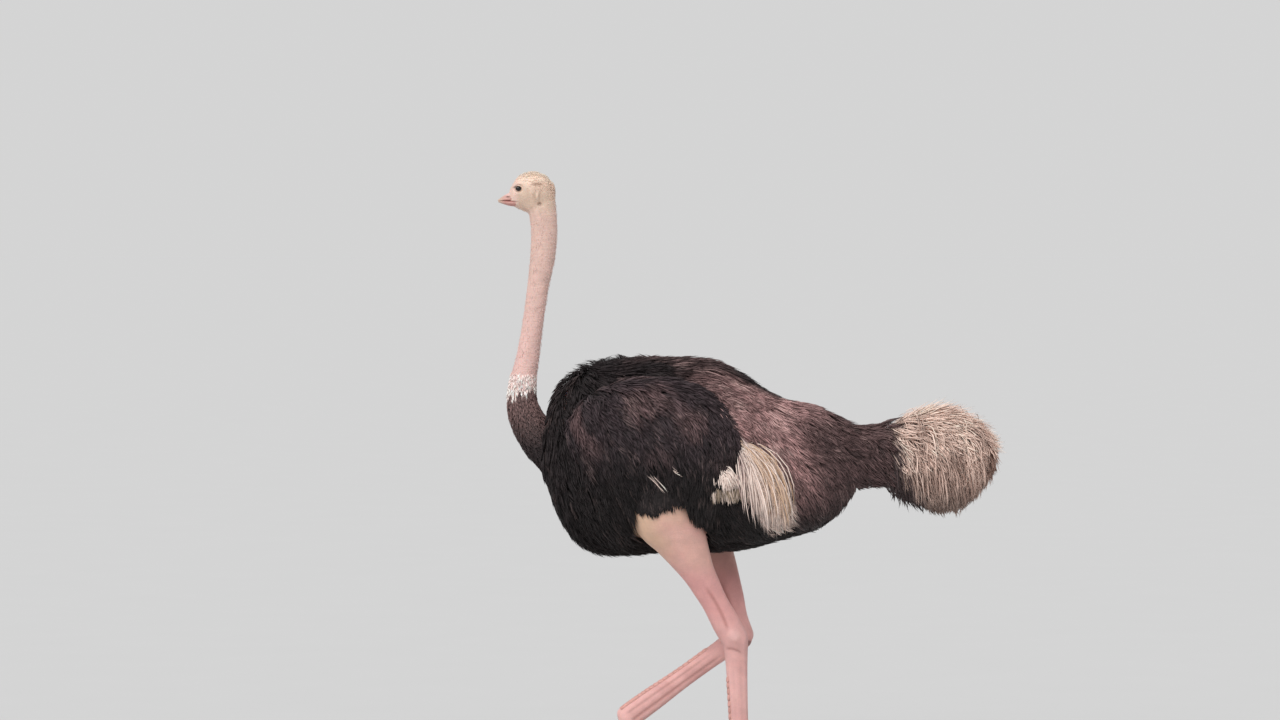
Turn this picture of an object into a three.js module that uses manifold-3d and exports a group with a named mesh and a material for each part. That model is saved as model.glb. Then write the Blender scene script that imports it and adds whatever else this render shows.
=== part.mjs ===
// A life-size standing ostrich, mid-stride on its left foot, on a flat base plate.
// Millimetres, +Z up. The bird looks along -X and its left side is -Y.
// The origin is the middle of the underside of the base.
import * as THREE from "three";
import { LoftGeometry } from "three/addons/geometries/LoftGeometry.js";
import { mergeVertices } from "three/addons/utils/BufferGeometryUtils.js";
import Module from "manifold-3d";

const wasm = await Module();
wasm.setup();

// ---------------------------------------------------------------- driving sizes
const GAP = 0.4; // clear space left wherever one part ends at another
const LEFT = -1; // side signs along Y
const RIGHT = 1;

const BASE_LENGTH = 900;
const BASE_WIDTH = 560;
const BASE_THICKNESS = 30;
const BASE_CORNER = 60;
const BASE_EDGE = 5;

const EYE_RADIUS = 19;
const EYE_FORWARD = -676;
const EYE_HEIGHT = 2179;
const EYE_SPREAD = 22; // centre of each eyeball from the middle of the head

const BILL_TIP = -751;
const BILL_ROOT = -700;
const BILL_GAPE_HEIGHT = 2136; // the line where the bills meet

const NECK_HEAD_CUT = { x: -590, z: 2104, lean: -20 }; // lean in degrees from level
const NECK_RING_CUT = { x: -659, z: 1512, lean: 9 };

const TRUNK_TAIL_CUT = 508;
const TAIL_PLUME_CUT = 662;

const WING_OUT = 150; // middle of each folded wing from the middle of the body
const WING_THICK = 126;

const LEG_SPREAD = 146; // upper legs from the middle of the body
const ANKLE_SPREAD = 84;
const LEFT_FOOT_OUT = 50;
const RIGHT_FOOT_OUT = 72;

const LEFT_ANKLE = { x: 82, z: 600 };
const LEFT_TOE_JOINT = { x: 103, z: 92 };
const RIGHT_ANKLE = { x: 104, z: 602 };
const RIGHT_TOE_JOINT = { x: -308, z: 318 };

const MAIN_TOE_LENGTH = 178; // without its claw
const OUTER_TOE_LENGTH = 104;
const OUTER_TOE_SPLAY = 26; // degrees away from the main toe
const MAIN_CLAW_LENGTH = 62;
const OUTER_CLAW_LENGTH = 20;
const SLACK_TOE_DROP = 58; // degrees the lifted toes hang below level

// ---------------------------------------------------------------- finishes
function finish(color, roughness) {
  return new THREE.MeshStandardMaterial({ color, roughness, metalness: 0 });
}

const FINISH = {
  pinkSkin: () => finish(0xdba79c, 0.62),
  neckSkin: () => finish(0xd9b3a8, 0.7),
  headDown: () => finish(0xdfc2b0, 0.78),
  darkDown: () => finish(0x5a4645, 0.85),
  blackPlumage: () => finish(0x2c2628, 0.85),
  wingPlumage: () => finish(0x332b2d, 0.85),
  creamPlumes: () => finish(0xecd2c4, 0.85),
  tailCoverts: () => finish(0x5f4c4c, 0.85),
  buffPlumes: () => finish(0xb8998b, 0.88),
  bill: () => finish(0xcf9f92, 0.5),
  eye: () => finish(0x2a1a14, 0.08),
  claw: () => finish(0x6d5a50, 0.45),
  base: () => finish(0x8a8780, 0.6),
};

// ---------------------------------------------------------------- shaping
/** One oval station of a loft: its middle, half depth and half width. */
function oval(x, z, deep, wide, y = 0) {
  return { x, y, z, deep, wide };
}

/** A station of an upright loft given by its top and bottom heights. */
function slice(x, top, bottom, wide, y = 0) {
  return oval(x, (top + bottom) / 2, (top - bottom) / 2, wide, y);
}

/** Direction of the loft at t, or the fixed one its sections stand square to. */
function headingAt(spine, t, square) {
  return square ? square.clone() : spine.getTangent(t);
}

/** A station whose outline breaks up into feather tips by a share of its size. */
function frayed(station, fray) {
  return { ...station, fray };
}

/** How frayed the outline is at t, run evenly between the stations. */
function frayAt(stations, t) {
  const spot = t * (stations.length - 1);
  const before = Math.min(Math.floor(spot), stations.length - 2);
  const from = stations[before].fray ?? 0;
  const to = stations[before + 1].fray ?? 0;
  return THREE.MathUtils.lerp(from, to, spot - before);
}

/** The points of one oval ring square to heading. */
function ringPoints(middle, heading, deep, wide, style) {
  const side = new THREE.Vector3(0, 1, 0);
  const down = new THREE.Vector3().crossVectors(side, heading).normalize();
  const across = new THREE.Vector3().crossVectors(heading, down).normalize();
  const points = [];
  for (let k = 0; k < style.sides; k += 1) {
    const angle = (2 * Math.PI * k) / style.sides;
    const c = Math.cos(angle);
    const s = Math.sin(angle);
    const full = (v) => Math.sign(v) * Math.abs(v) ** (2 / style.fullness);
    const lobe = 1 + style.lobeDepth * Math.cos(style.lobes * angle);
    const point = middle.clone();
    point.addScaledVector(down, (deep * full(c) + style.sag * deep * s * s) * lobe);
    point.addScaledVector(across, wide * full(s) * lobe);
    points.push(point);
  }
  return points;
}

const PLAIN = {
  sides: 16, // points round each ring
  rings: 14, // rings between the first and last station
  grow: 0, // extra thickness all round, for cutting a clear gap
  domes: [0.6, 0.6], // how far each end bulges, in half depths
  square: null, // a fixed direction the sections stand square to
  fullness: 2, // 2 is an ellipse, more is boxier
  sag: 0, // how far the widest part sits below the middle
  lobes: 0, // bundles round the ring
  lobeDepth: 0,
};

/** Rings that close one end of a loft with a rounded dome, or none for a flat end. */
function domeRings(middle, heading, deep, wide, bulge, style) {
  const curve = style.sides > 14 ? [0.5, 0.86, 0.99] : [0.6, 0.96];
  const reaches = bulge === 0 ? [] : curve;
  return reaches.map((reach) => {
    const shrink = Math.sqrt(1 - reach * reach);
    const at = middle.clone().addScaledVector(heading, deep * bulge * reach);
    return ringPoints(at, heading, deep * shrink, wide * shrink, style);
  });
}

/** A closed body lofted through oval stations, as a solid. */
function body(stations, options = {}) {
  const style = { ...PLAIN, ...options };
  const spine = new THREE.CatmullRomCurve3(
    stations.map((s) => new THREE.Vector3(s.x, s.y, s.z)),
  );
  const girth = new THREE.CatmullRomCurve3(
    stations.map((s) => new THREE.Vector3(s.deep, s.wide, 0)),
    false,
    "catmullrom",
    0.5,
  );
  const sections = [];
  for (let i = 0; i <= style.rings; i += 1) {
    const t = i / style.rings;
    const size = girth.getPoint(t);
    const heading = headingAt(spine, t, style.square);
    style.lobeDepth = Math.max(frayAt(stations, t), options.lobeDepth ?? 0);
    const deep = size.x + style.grow;
    const wide = size.y + style.grow;
    const middle = spine.getPoint(t);
    if (i === 0) {
      const back = domeRings(middle, heading, deep, wide, -style.domes[0], style);
      sections.push(...back.reverse());
    }
    sections.push(ringPoints(middle, heading, deep, wide, style));
    if (i === style.rings) {
      sections.push(...domeRings(middle, heading, deep, wide, style.domes[1], style));
    }
  }
  return solidFrom(new LoftGeometry(sections, { capStart: true, capEnd: true }));
}

/** A three.js geometry as a solid that can be joined and cut. */
function solidFrom(geometry) {
  const bare = new THREE.BufferGeometry();
  bare.setAttribute("position", geometry.getAttribute("position"));
  bare.setIndex(geometry.index);
  const merged = mergeVertices(bare, 1e-4);
  const mesh = new wasm.Mesh({
    numProp: 3,
    vertProperties: merged.getAttribute("position").array,
    triVerts: new Uint32Array(merged.index.array),
  });
  return new wasm.Manifold(mesh);
}

/** The biggest single body of a solid. */
function mainBody(solid) {
  const pieces = solid.decompose();
  return pieces.sort((a, b) => b.volume() - a.volume())[0];
}

/** A named mesh of a finished solid. */
function part(name, solid, material) {
  const made = mainBody(solid).getMesh();
  const geometry = new THREE.BufferGeometry();
  const points = new Float32Array(made.vertProperties);
  geometry.setAttribute("position", new THREE.BufferAttribute(points, 3));
  geometry.setIndex(new THREE.BufferAttribute(new Uint32Array(made.triVerts), 1));
  geometry.computeVertexNormals();
  const mesh = new THREE.Mesh(geometry, material);
  mesh.name = name;
  return mesh;
}

/** The two halves of a solid on either side of a leaning level cut, upper one first. */
function partAt(solid, cut) {
  const lean = THREE.MathUtils.degToRad(cut.lean);
  const up = [Math.sin(lean), 0, Math.cos(lean)];
  const reach = up[0] * cut.x + up[2] * cut.z;
  const upper = solid.trimByPlane(up, reach + GAP / 2);
  const lower = solid.trimByPlane([-up[0], 0, -up[2]], GAP / 2 - reach);
  return [upper, lower];
}

/** The two halves of a solid on either side of an upright cut, front one first. */
function partAcross(solid, x) {
  const front = solid.trimByPlane([-1, 0, 0], GAP / 2 - x);
  const back = solid.trimByPlane([1, 0, 0], x + GAP / 2);
  return [front, back];
}

const ALONG = new THREE.Vector3(1, 0, 0);

// ---------------------------------------------------------------- head and bill
/** The skull and cheeks, sliced from the root of the bill to the back of the head. */
function skull(grow = 0) {
  const slices = [
    slice(-702, 2188, 2119, 25),
    slice(-686, 2214, 2112, 35),
    slice(-660, 2230, 2100, 40),
    slice(-622, 2237, 2088, 42),
    slice(-585, 2224, 2090, 38),
    slice(-566, 2204, 2108, 29),
  ];
  const style = { square: ALONG, sides: 16, rings: 8, domes: [0.25, 0.32], grow };
  return body(slices, { ...style, sag: -0.05 });
}

/** Both bills in one wedge, flat and wide with a rounded tip. */
function billWedge() {
  const slices = [
    slice(BILL_TIP + 5, 2141, 2132, 9),
    slice(BILL_TIP + 22, 2152, 2124, 17),
    slice(BILL_ROOT, 2168, 2117, 23),
    slice(BILL_ROOT + 18, 2166, 2116, 26),
  ];
  return body(slices, { square: ALONG, sides: 12, rings: 4, domes: [1.1, 0], sag: 0.12 });
}

/** The eyeball on one side. */
function eyeball(side, grow = 0) {
  const ball = new THREE.SphereGeometry(EYE_RADIUS + grow, 12, 9);
  ball.translate(EYE_FORWARD, side * EYE_SPREAD, EYE_HEIGHT);
  return solidFrom(ball);
}

// ---------------------------------------------------------------- neck
/** The whole neck from inside the skull down into the breast. */
function neck(grow = 0) {
  const stations = [
    oval(-466, 1176, 82, 66),
    oval(-530, 1234, 80, 64),
    oval(-593, 1292, 73, 60),
    oval(-637, 1350, 64, 56),
    oval(-662, 1412, 57, 52),
    oval(-664, 1490, 50, 46),
    oval(-645, 1591, 42, 38),
    oval(-627, 1713, 38, 34),
    oval(-610, 1832, 39, 34),
    oval(-593, 1941, 45, 37),
    oval(-588, 2030, 47, 38),
    oval(-592, 2088, 49, 38),
    oval(-597, 2140, 49, 36),
  ];
  return body(stations, { sides: 12, rings: 18, grow });
}

// ---------------------------------------------------------------- trunk and tail
/** The feathered trunk and the tail that runs on from it, out to the feather tips. */
function trunkAndTail(grow = 0) {
  const slices = [
    slice(-600, 1300, 1196, 40),
    slice(-578, 1384, 1148, 92),
    slice(-538, 1492, 1040, 144),
    slice(-480, 1543, 948, 184),
    slice(-400, 1575, 905, 212),
    slice(-260, 1588, 901, 234),
    slice(-100, 1590, 908, 242),
    slice(20, 1576, 908, 240),
    slice(120, 1518, 918, 226),
    slice(230, 1452, 950, 198),
    slice(340, 1426, 980, 160),
    slice(428, 1391, 1030, 122),
    slice(508, 1353, 1120, 92),
    slice(600, 1366, 1136, 88),
    slice(700, 1410, 1094, 104),
    frayed(slice(800, 1420, 1056, 122), 0.035),
    frayed(slice(890, 1390, 1074, 112), 0.06),
    frayed(slice(960, 1340, 1150, 74), 0.085),
  ];
  const style = { square: ALONG, sides: 20, rings: 25, domes: [0.25, 0.36], grow };
  return body(slices, { ...style, fullness: 2.15, sag: 0.06, lobes: 10 });
}

// ---------------------------------------------------------------- wings
/** A folded wing lying on the flank, its plumes drooping over the thigh. */
function foldedWing(side, grow = 0) {
  const out = side * WING_OUT;
  const slices = [
    slice(-492, 1392, 1262, 74, out * 0.8),
    slice(-430, 1478, 1156, 108, out * 0.92),
    slice(-320, 1516, 1068, WING_THICK, out),
    frayed(slice(-180, 1526, 1024, WING_THICK + 4, out), 0.012),
    frayed(slice(-50, 1500, 1038, WING_THICK + 2, out), 0.022),
    frayed(slice(40, 1438, 1096, 112, out), 0.034),
    frayed(slice(88, 1352, 1180, 92, out), 0.05),
  ];
  const style = { square: ALONG, sides: 18, rings: 10, domes: [0.3, 0.12], grow };
  return body(slices, { ...style, fullness: 2.1, lobes: 9 });
}

/** The pale quill plumes that fall from behind a folded wing, in two overlapping tufts. */
function wingPlumes(side, grow = 0) {
  const main = [
    oval(82, 1290, 28, 22, side * 208),
    oval(134, 1232, 44, 30, side * 206),
    oval(184, 1156, 62, 34, side * 204),
    oval(220, 1074, 76, 34, side * 196),
    oval(231, 1034, 54, 28, side * 186),
  ];
  const small = [
    oval(44, 1232, 26, 22, side * 222),
    oval(62, 1160, 46, 26, side * 224),
    oval(70, 1096, 38, 22, side * 216),
  ];
  const lobed = { lobes: 4, lobeDepth: 0.04 };
  const long = body(main, { sides: 12, rings: 6, domes: [0.5, 0.45], grow, ...lobed });
  const short = body(small, { sides: 12, rings: 3, domes: [0.5, 0.5], grow, ...lobed });
  return long.add(short);
}

// ---------------------------------------------------------------- legs
/** The thigh and drumstick in one, from inside the flank down to the ankle. */
function upperLeg(stride, grow = 0) {
  const { side, hip, shin, ankle } = stride;
  const high = side * LEG_SPREAD;
  const low = side * ANKLE_SPREAD;
  const mix = (a, b, t) => a + (b - a) * t;
  const calf = stride.calf;
  const down = (t, out = 0) =>
    oval(mix(shin.x, ankle.x, t) + calf * out, mix(shin.z, ankle.z, t), 0, 0);
  const spread = (t) => mix(high, low, t);
  const stations = [
    oval(hip.x - 30, hip.z + 96, 112, 108, high * 1.04),
    oval(hip.x, hip.z, 117, 110, high * 1.04),
    oval(shin.x, shin.z, 95, 82, high),
    { ...down(0.31, 1), deep: 61 + calf, wide: 56, y: spread(0.3) },
    { ...down(0.48, 1), deep: 52 + calf, wide: 45, y: spread(0.5) },
    { ...down(0.64, 0.8), deep: 47 + calf * 0.8, wide: 38, y: spread(0.7) },
    { ...down(0.82, 0.3), deep: 50, wide: 38, y: spread(0.9) },
    { ...down(1), deep: 48, wide: 41, y: low },
  ];
  return body(stations, { sides: 14, rings: 12, domes: [0.3, 0.75], grow });
}

/** The scaled shank from the ankle to the joint of the toes. */
function shank(stride, grow = 0) {
  const { side, ankle, toeJoint, footOut, heel } = stride;
  const top = new THREE.Vector3(ankle.x, side * ANKLE_SPREAD, ankle.z);
  const foot = new THREE.Vector3(toeJoint.x, side * footOut, toeJoint.z);
  const under = new THREE.Vector3().subVectors(foot, top).cross(new THREE.Vector3(0, 1, 0));
  under.normalize();
  const at = (t, deep, wide, full = 0) => {
    const middle = top.clone().lerp(foot, t).addScaledVector(under, heel * full);
    return { ...middle, deep: deep + heel * full, wide };
  };
  const stations = [
    at(0, 46, 41),
    at(0.09, 42, 35),
    at(0.24, 38, 28),
    at(0.5, 35, 26, 0.4),
    at(0.75, stride.toeDrop ? 38 : 34, 28, 0.8),
    at(0.92, stride.toeDrop ? 38 : 36, 32, 1),
    at(1, 36, 35, 0.8),
  ];
  return body(stations, { sides: 12, rings: 8, domes: [0.8, 0.55], grow });
}

/** The cut across the ankle, halfway between the run of the drumstick and of the shank. */
function ankleCut({ shin, ankle, toeJoint }) {
  const rise = new THREE.Vector2(shin.x - ankle.x, shin.z - ankle.z).normalize();
  const fall = new THREE.Vector2(toeJoint.x - ankle.x, toeJoint.z - ankle.z).normalize();
  const square = rise.sub(fall);
  const lean = THREE.MathUtils.radToDeg(Math.atan2(square.x, square.y));
  return { ...ankle, lean };
}

/** A frame at the toe joint: forwards along the foot, upwards square to it. */
function footFrame(stride) {
  const drop = THREE.MathUtils.degToRad(stride.toeDrop);
  const forward = new THREE.Vector3(-Math.cos(drop), 0, -Math.sin(drop));
  const up = new THREE.Vector3(-Math.sin(drop), 0, Math.cos(drop));
  const { toeJoint, side, footOut } = stride;
  const joint = new THREE.Vector3(toeJoint.x, side * footOut, toeJoint.z);
  return { forward, up, joint };
}

/** Stations for a toe or claw running forwards from the joint, splayed outwards. */
function alongFoot(stride, splay, rows) {
  const { forward, up, joint } = footFrame(stride);
  const angle = THREE.MathUtils.degToRad(splay);
  return rows.map(({ reach, lift, deep, wide }) => {
    const at = joint.clone();
    at.addScaledVector(forward, reach * Math.cos(angle));
    at.addScaledVector(up, lift);
    at.y += stride.side * reach * Math.sin(angle);
    return { x: at.x, y: at.y, z: at.z, deep, wide };
  });
}

/** The big inner toe with its knuckle pads. */
function mainToe(stride, grow = 0) {
  const length = MAIN_TOE_LENGTH;
  const rows = [
    { reach: -12, lift: -18, deep: 36, wide: 34 },
    { reach: length * 0.16, lift: -28, deep: 36, wide: 35 },
    { reach: length * 0.34, lift: -35, deep: 29, wide: 29 },
    { reach: length * 0.55, lift: -36, deep: 28, wide: 31 },
    { reach: length * 0.7, lift: -40, deep: 24, wide: 27 },
    { reach: length * 0.88, lift: -41, deep: 24, wide: 29 },
    { reach: length, lift: -44, deep: 19, wide: 23 },
  ];
  return body(alongFoot(stride, -3, rows), { sides: 12, rings: 8, domes: [0.4, 0.5], grow });
}

/** The small outer toe. */
function outerToe(stride, grow = 0) {
  const length = OUTER_TOE_LENGTH;
  const rows = [
    { reach: 8, lift: -32, deep: 25, wide: 20 },
    { reach: length * 0.4, lift: -40, deep: 20, wide: 17 },
    { reach: length * 0.7, lift: -45, deep: 18, wide: 18 },
    { reach: length, lift: -50, deep: 13, wide: 13 },
  ];
  const toe = alongFoot({ ...stride, footOut: stride.footOut + 16 }, OUTER_TOE_SPLAY, rows);
  return body(toe, { sides: 10, rings: 4, domes: [0.4, 0.7], grow });
}

/** The thick blunt claw of the big toe. */
function mainClaw(stride) {
  const start = MAIN_TOE_LENGTH - 4;
  const length = MAIN_CLAW_LENGTH;
  const rows = [
    { reach: start, lift: -44, deep: 15, wide: 17 },
    { reach: start + length * 0.4, lift: -47, deep: 13, wide: 14 },
    { reach: start + length * 0.75, lift: -51, deep: 9, wide: 9 },
    { reach: start + length * 0.95, lift: -55, deep: 5, wide: 5 },
  ];
  return body(alongFoot(stride, -3, rows), { sides: 8, rings: 3, domes: [0, 0.8] });
}

/** The nub of a claw on the outer toe. */
function outerClaw(stride) {
  const start = OUTER_TOE_LENGTH + 2;
  const rows = [
    { reach: start, lift: -50, deep: 9, wide: 8 },
    { reach: start + OUTER_CLAW_LENGTH, lift: -55, deep: 4, wide: 4 },
  ];
  const claw = alongFoot({ ...stride, footOut: stride.footOut + 16 }, OUTER_TOE_SPLAY, rows);
  return body(claw, { sides: 6, rings: 1, domes: [0, 0.9] });
}

const LEFT_STRIDE = {
  side: LEFT,
  tag: "left",
  hip: { x: -168, z: 1052 },
  shin: { x: -114, z: 966 },
  ankle: LEFT_ANKLE,
  toeJoint: LEFT_TOE_JOINT,
  footOut: LEFT_FOOT_OUT,
  calf: 0, // how far the back of the drumstick bulges
  heel: 0, // how far the underside of the shank swells
  toeDrop: 0,
};

const RIGHT_STRIDE = {
  side: RIGHT,
  tag: "right",
  hip: { x: -90, z: 1062 },
  shin: { x: -36, z: 976 },
  ankle: RIGHT_ANKLE,
  toeJoint: RIGHT_TOE_JOINT,
  footOut: RIGHT_FOOT_OUT,
  calf: 10,
  heel: 6,
  toeDrop: SLACK_TOE_DROP,
};

/** Every part of one leg, cut clear of the body and of each other. */
function legParts(stride, trunk, wing) {
  const floor = (solid) => solid.trimByPlane([0, 0, 1], BASE_THICKNESS);
  const whole = upperLeg(stride).subtract(trunk).subtract(wing);
  const knee = { x: stride.shin.x, z: stride.shin.z - 8, lean: -32 };
  const [thigh, shin] = partAt(mainBody(whole), knee);
  const [drumstick] = partAt(shin, ankleCut(stride));
  const [, lowerLeg] = partAt(shank(stride), ankleCut(stride));
  const bigToe = mainToe(stride).subtract(shank(stride, GAP));
  const smallToe = outerToe(stride)
    .subtract(shank(stride, GAP))
    .subtract(mainToe(stride, GAP));
  const bigClaw = mainClaw(stride).subtract(mainToe(stride, GAP));
  const smallClaw = outerClaw(stride).subtract(outerToe(stride, GAP));
  const { tag } = stride;
  return [
    part(`thigh_${tag}`, thigh, FINISH.pinkSkin()),
    part(`drumstick_${tag}`, drumstick, FINISH.pinkSkin()),
    part(`shank_${tag}`, floor(lowerLeg), FINISH.pinkSkin()),
    part(`toe_main_${tag}`, floor(bigToe), FINISH.pinkSkin()),
    part(`toe_outer_${tag}`, floor(smallToe), FINISH.pinkSkin()),
    part(`claw_main_${tag}`, floor(bigClaw), FINISH.claw()),
    part(`claw_outer_${tag}`, floor(smallClaw), FINISH.claw()),
  ];
}

// ---------------------------------------------------------------- stand
/** The flat base plate with rounded corners and softened edges. */
function basePlate() {
  const x = BASE_LENGTH / 2 - BASE_EDGE;
  const y = BASE_WIDTH / 2 - BASE_EDGE;
  const r = BASE_CORNER;
  const outline = new THREE.Shape();
  outline.moveTo(-x + r, -y);
  outline.lineTo(x - r, -y);
  outline.absarc(x - r, -y + r, r, -Math.PI / 2, 0);
  outline.absarc(x - r, y - r, r, 0, Math.PI / 2);
  outline.absarc(-x + r, y - r, r, Math.PI / 2, Math.PI);
  outline.absarc(-x + r, -y + r, r, Math.PI, 1.5 * Math.PI);
  const plate = new THREE.ExtrudeGeometry(outline, {
    depth: BASE_THICKNESS - 2 * BASE_EDGE,
    bevelSize: BASE_EDGE,
    bevelThickness: BASE_EDGE,
    bevelSegments: 1,
    curveSegments: 5,
  });
  plate.translate(0, 0, BASE_EDGE);
  return solidFrom(plate);
}

// ---------------------------------------------------------------- assembly
/** The head, its bills and eyes, and the two lengths of the neck. */
function headAndNeck(trunk) {
  const whole = skull().add(neck());
  const [top, stem] = partAt(whole, NECK_HEAD_CUT);
  const sockets = eyeball(LEFT, GAP).add(eyeball(RIGHT, GAP));
  const bareHead = mainBody(top).subtract(sockets);
  const [ringUp, ringDown] = partAt(mainBody(stem), NECK_RING_CUT);
  const bills = billWedge().subtract(skull(GAP));
  const gape = { x: BILL_ROOT, z: BILL_GAPE_HEIGHT, lean: -4 };
  const [upperBill, lowerBill] = partAt(bills, gape);
  return [
    part("head", bareHead, FINISH.headDown()),
    part("bill_upper", upperBill, FINISH.bill()),
    part("bill_lower", lowerBill, FINISH.bill()),
    part("eye_left", eyeball(LEFT), FINISH.eye()),
    part("eye_right", eyeball(RIGHT), FINISH.eye()),
    part("neck_upper", ringUp, FINISH.neckSkin()),
    part("neck_lower", ringDown.subtract(trunk), FINISH.darkDown()),
  ];
}

/** The wing and its pale plumes on one side. */
function wingParts(side, tag, trunk) {
  const wing = foldedWing(side).subtract(trunk);
  const plumes = wingPlumes(side).subtract(trunk).subtract(foldedWing(side, GAP));
  return [
    part(`wing_${tag}`, wing, FINISH.wingPlumage()),
    part(`wing_plumes_${tag}`, plumes, FINISH.creamPlumes()),
  ];
}

/** The whole bird on its base. */
function ostrich() {
  const bird = new THREE.Group();
  bird.name = "ostrich";
  const clearTrunk = trunkAndTail(GAP);
  const [trunk, behind] = partAcross(trunkAndTail(), TRUNK_TAIL_CUT);
  const [tail, plumes] = partAcross(behind, TAIL_PLUME_CUT);
  bird.add(...headAndNeck(clearTrunk));
  bird.add(part("trunk", trunk, FINISH.blackPlumage()));
  bird.add(part("tail", tail, FINISH.tailCoverts()));
  bird.add(part("tail_plumes", plumes, FINISH.buffPlumes()));
  bird.add(...wingParts(LEFT, "left", clearTrunk));
  bird.add(...wingParts(RIGHT, "right", clearTrunk));
  bird.add(...legParts(LEFT_STRIDE, clearTrunk, foldedWing(LEFT, GAP)));
  bird.add(...legParts(RIGHT_STRIDE, clearTrunk, foldedWing(RIGHT, GAP)));
  bird.add(part("stand_base", basePlate(), FINISH.base()));
  return bird;
}

export default ostrich();
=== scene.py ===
"""Looks of a life-size ostrich on a base plate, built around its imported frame.

Everything is in metres in the row frame: +Z up, the bird faces -X, its left side is -Y.
"""

from __future__ import annotations

import logging
import math
from dataclasses import dataclass, field, replace
from enum import Enum

import bmesh
import bpy
import numpy as np
from mathutils import Matrix, Vector

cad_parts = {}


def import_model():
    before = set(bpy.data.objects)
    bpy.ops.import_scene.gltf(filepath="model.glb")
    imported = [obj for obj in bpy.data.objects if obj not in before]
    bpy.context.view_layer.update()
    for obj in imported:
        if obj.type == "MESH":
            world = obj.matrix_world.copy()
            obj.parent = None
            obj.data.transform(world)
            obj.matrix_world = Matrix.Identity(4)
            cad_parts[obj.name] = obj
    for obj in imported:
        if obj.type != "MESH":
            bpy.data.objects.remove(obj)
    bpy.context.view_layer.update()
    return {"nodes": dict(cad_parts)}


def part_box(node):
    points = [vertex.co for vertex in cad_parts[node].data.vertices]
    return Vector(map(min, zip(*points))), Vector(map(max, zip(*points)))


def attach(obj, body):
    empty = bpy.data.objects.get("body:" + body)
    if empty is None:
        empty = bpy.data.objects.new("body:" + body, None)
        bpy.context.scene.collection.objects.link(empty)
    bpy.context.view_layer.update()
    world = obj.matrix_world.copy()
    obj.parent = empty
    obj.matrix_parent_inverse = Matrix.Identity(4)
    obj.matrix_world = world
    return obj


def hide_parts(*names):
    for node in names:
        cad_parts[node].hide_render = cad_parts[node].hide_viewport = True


LOG = logging.getLogger("ostrich")
Array = np.ndarray
BMesh, Mesh = bmesh.types.BMesh, bpy.types.Mesh
Material, NodeSocket, Object = bpy.types.Material, bpy.types.NodeSocket, bpy.types.Object
MM = 0.001
BASE_GAP = 0.0004
Oval = tuple[float, float, float, float]


# ---------------------------------------------------------------- colours
class Hue(Enum):
    """Named colours of the bird and its stand, as 8-bit display values."""

    CROWN = (243, 215, 196)
    CHEEK = (214, 187, 168)
    LORE = (228, 196, 184)
    EAR_BROWN = (150, 116, 96)
    NECK_HIGH = (216, 183, 171)
    NECK_LOW = (222, 184, 176)
    RING = (255, 226, 220)
    NECK_BROWN = (136, 108, 105)
    NECK_BASE = (52, 42, 43)
    BLACK = (38, 31, 32)
    # Painted shade: the darker black of the plumage's lower parts.
    UNDERSIDE_SHADE = (30, 25, 25)
    WING = (62, 51, 54)
    RUMP = (164, 128, 126)
    RUMP_LIGHT = (214, 182, 176)
    # Painted sheen: the light streaks on the rump and wing plumes.
    CREAM = (255, 232, 220)
    PALE_GREY = (232, 208, 197)
    TAIL_TOP = (252, 222, 207)
    OLIVE = (142, 120, 92)
    TAIL_STALK = (68, 53, 53)
    GOLD = (214, 172, 132)
    BUFF = (206, 176, 160)
    BUFF_BROWN = (150, 120, 108)
    THIGH = (214, 180, 152)
    THIGH_PINK = (222, 175, 163)
    DRUMSTICK = (222, 164, 160)
    ANKLE = (219, 168, 163)
    SHANK = (243, 190, 184)
    # Painted shade for the leg grooves, creases and shaded parts.
    GROOVE = (150, 88, 80)
    TOE = (196, 150, 140)
    SCUTE = (214, 158, 148)
    BILL = (206, 156, 146)
    BILL_TIP = (206, 176, 158)
    GAPE = (158, 84, 76)
    LASH = (34, 24, 22)
    CLAW = (104, 84, 72)
    BOARD = (150, 148, 143)

    @property
    def linear(self) -> Array:
        """The colour in linear light."""
        v = np.array(self.value) / 255
        return np.where(v <= 0.04045, v / 12.92, ((v + 0.055) / 1.055) ** 2.4)


def smooth(value: Array, low: float, high: float) -> Array:
    """Eases from 0 at low to 1 at high.

    Args:
        value: Numbers to ease.
        low: Where the result leaves 0.
        high: Where the result reaches 1.

    Returns:
        Shares from 0 to 1.
    """
    share = np.clip((value - low) / (high - low), 0.0, 1.0)
    return share * share * (3 - 2 * share)


def linear(colour: Array | Hue) -> Array:
    """A colour or colours in linear light, whether named or worked out."""
    return colour.linear if isinstance(colour, Hue) else np.asarray(colour)


def blend(first: Array | Hue, second: Array | Hue, share: Array) -> Array:
    """Mixes two colours by a share for each point.

    Args:
        first: Colour or colours where the share is 0.
        second: Colour or colours where the share is 1.
        share: One share for each point.

    Returns:
        One colour for each point.
    """
    weight = np.asarray(share)[:, None]
    return linear(first) * (1 - weight) + linear(second) * weight


def fade(value: Array, full: float, gone: float) -> Array:
    """Eases from 1 at full down to 0 at gone."""
    return smooth(-value, -gone, -full)


def hump(value: Array, middle: float, width: float) -> Array:
    """A smooth hump: 1 at its middle and about a third one width away."""
    return np.exp(-(((value - middle) / width) ** 2))


def oval_reach(x: Array, z: Array, spot: Oval) -> Array:
    """How far out places lie in an oval seen from the side: 0 in its middle, 1 at its rim.

    Args:
        x: Places along the bird.
        z: Their heights.
        spot: The oval's middle and its half sizes, along the bird and upwards.

    Returns:
        One share for each place.
    """
    return np.hypot((x - spot[0]) / spot[2], (z - spot[1]) / spot[3])


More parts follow.
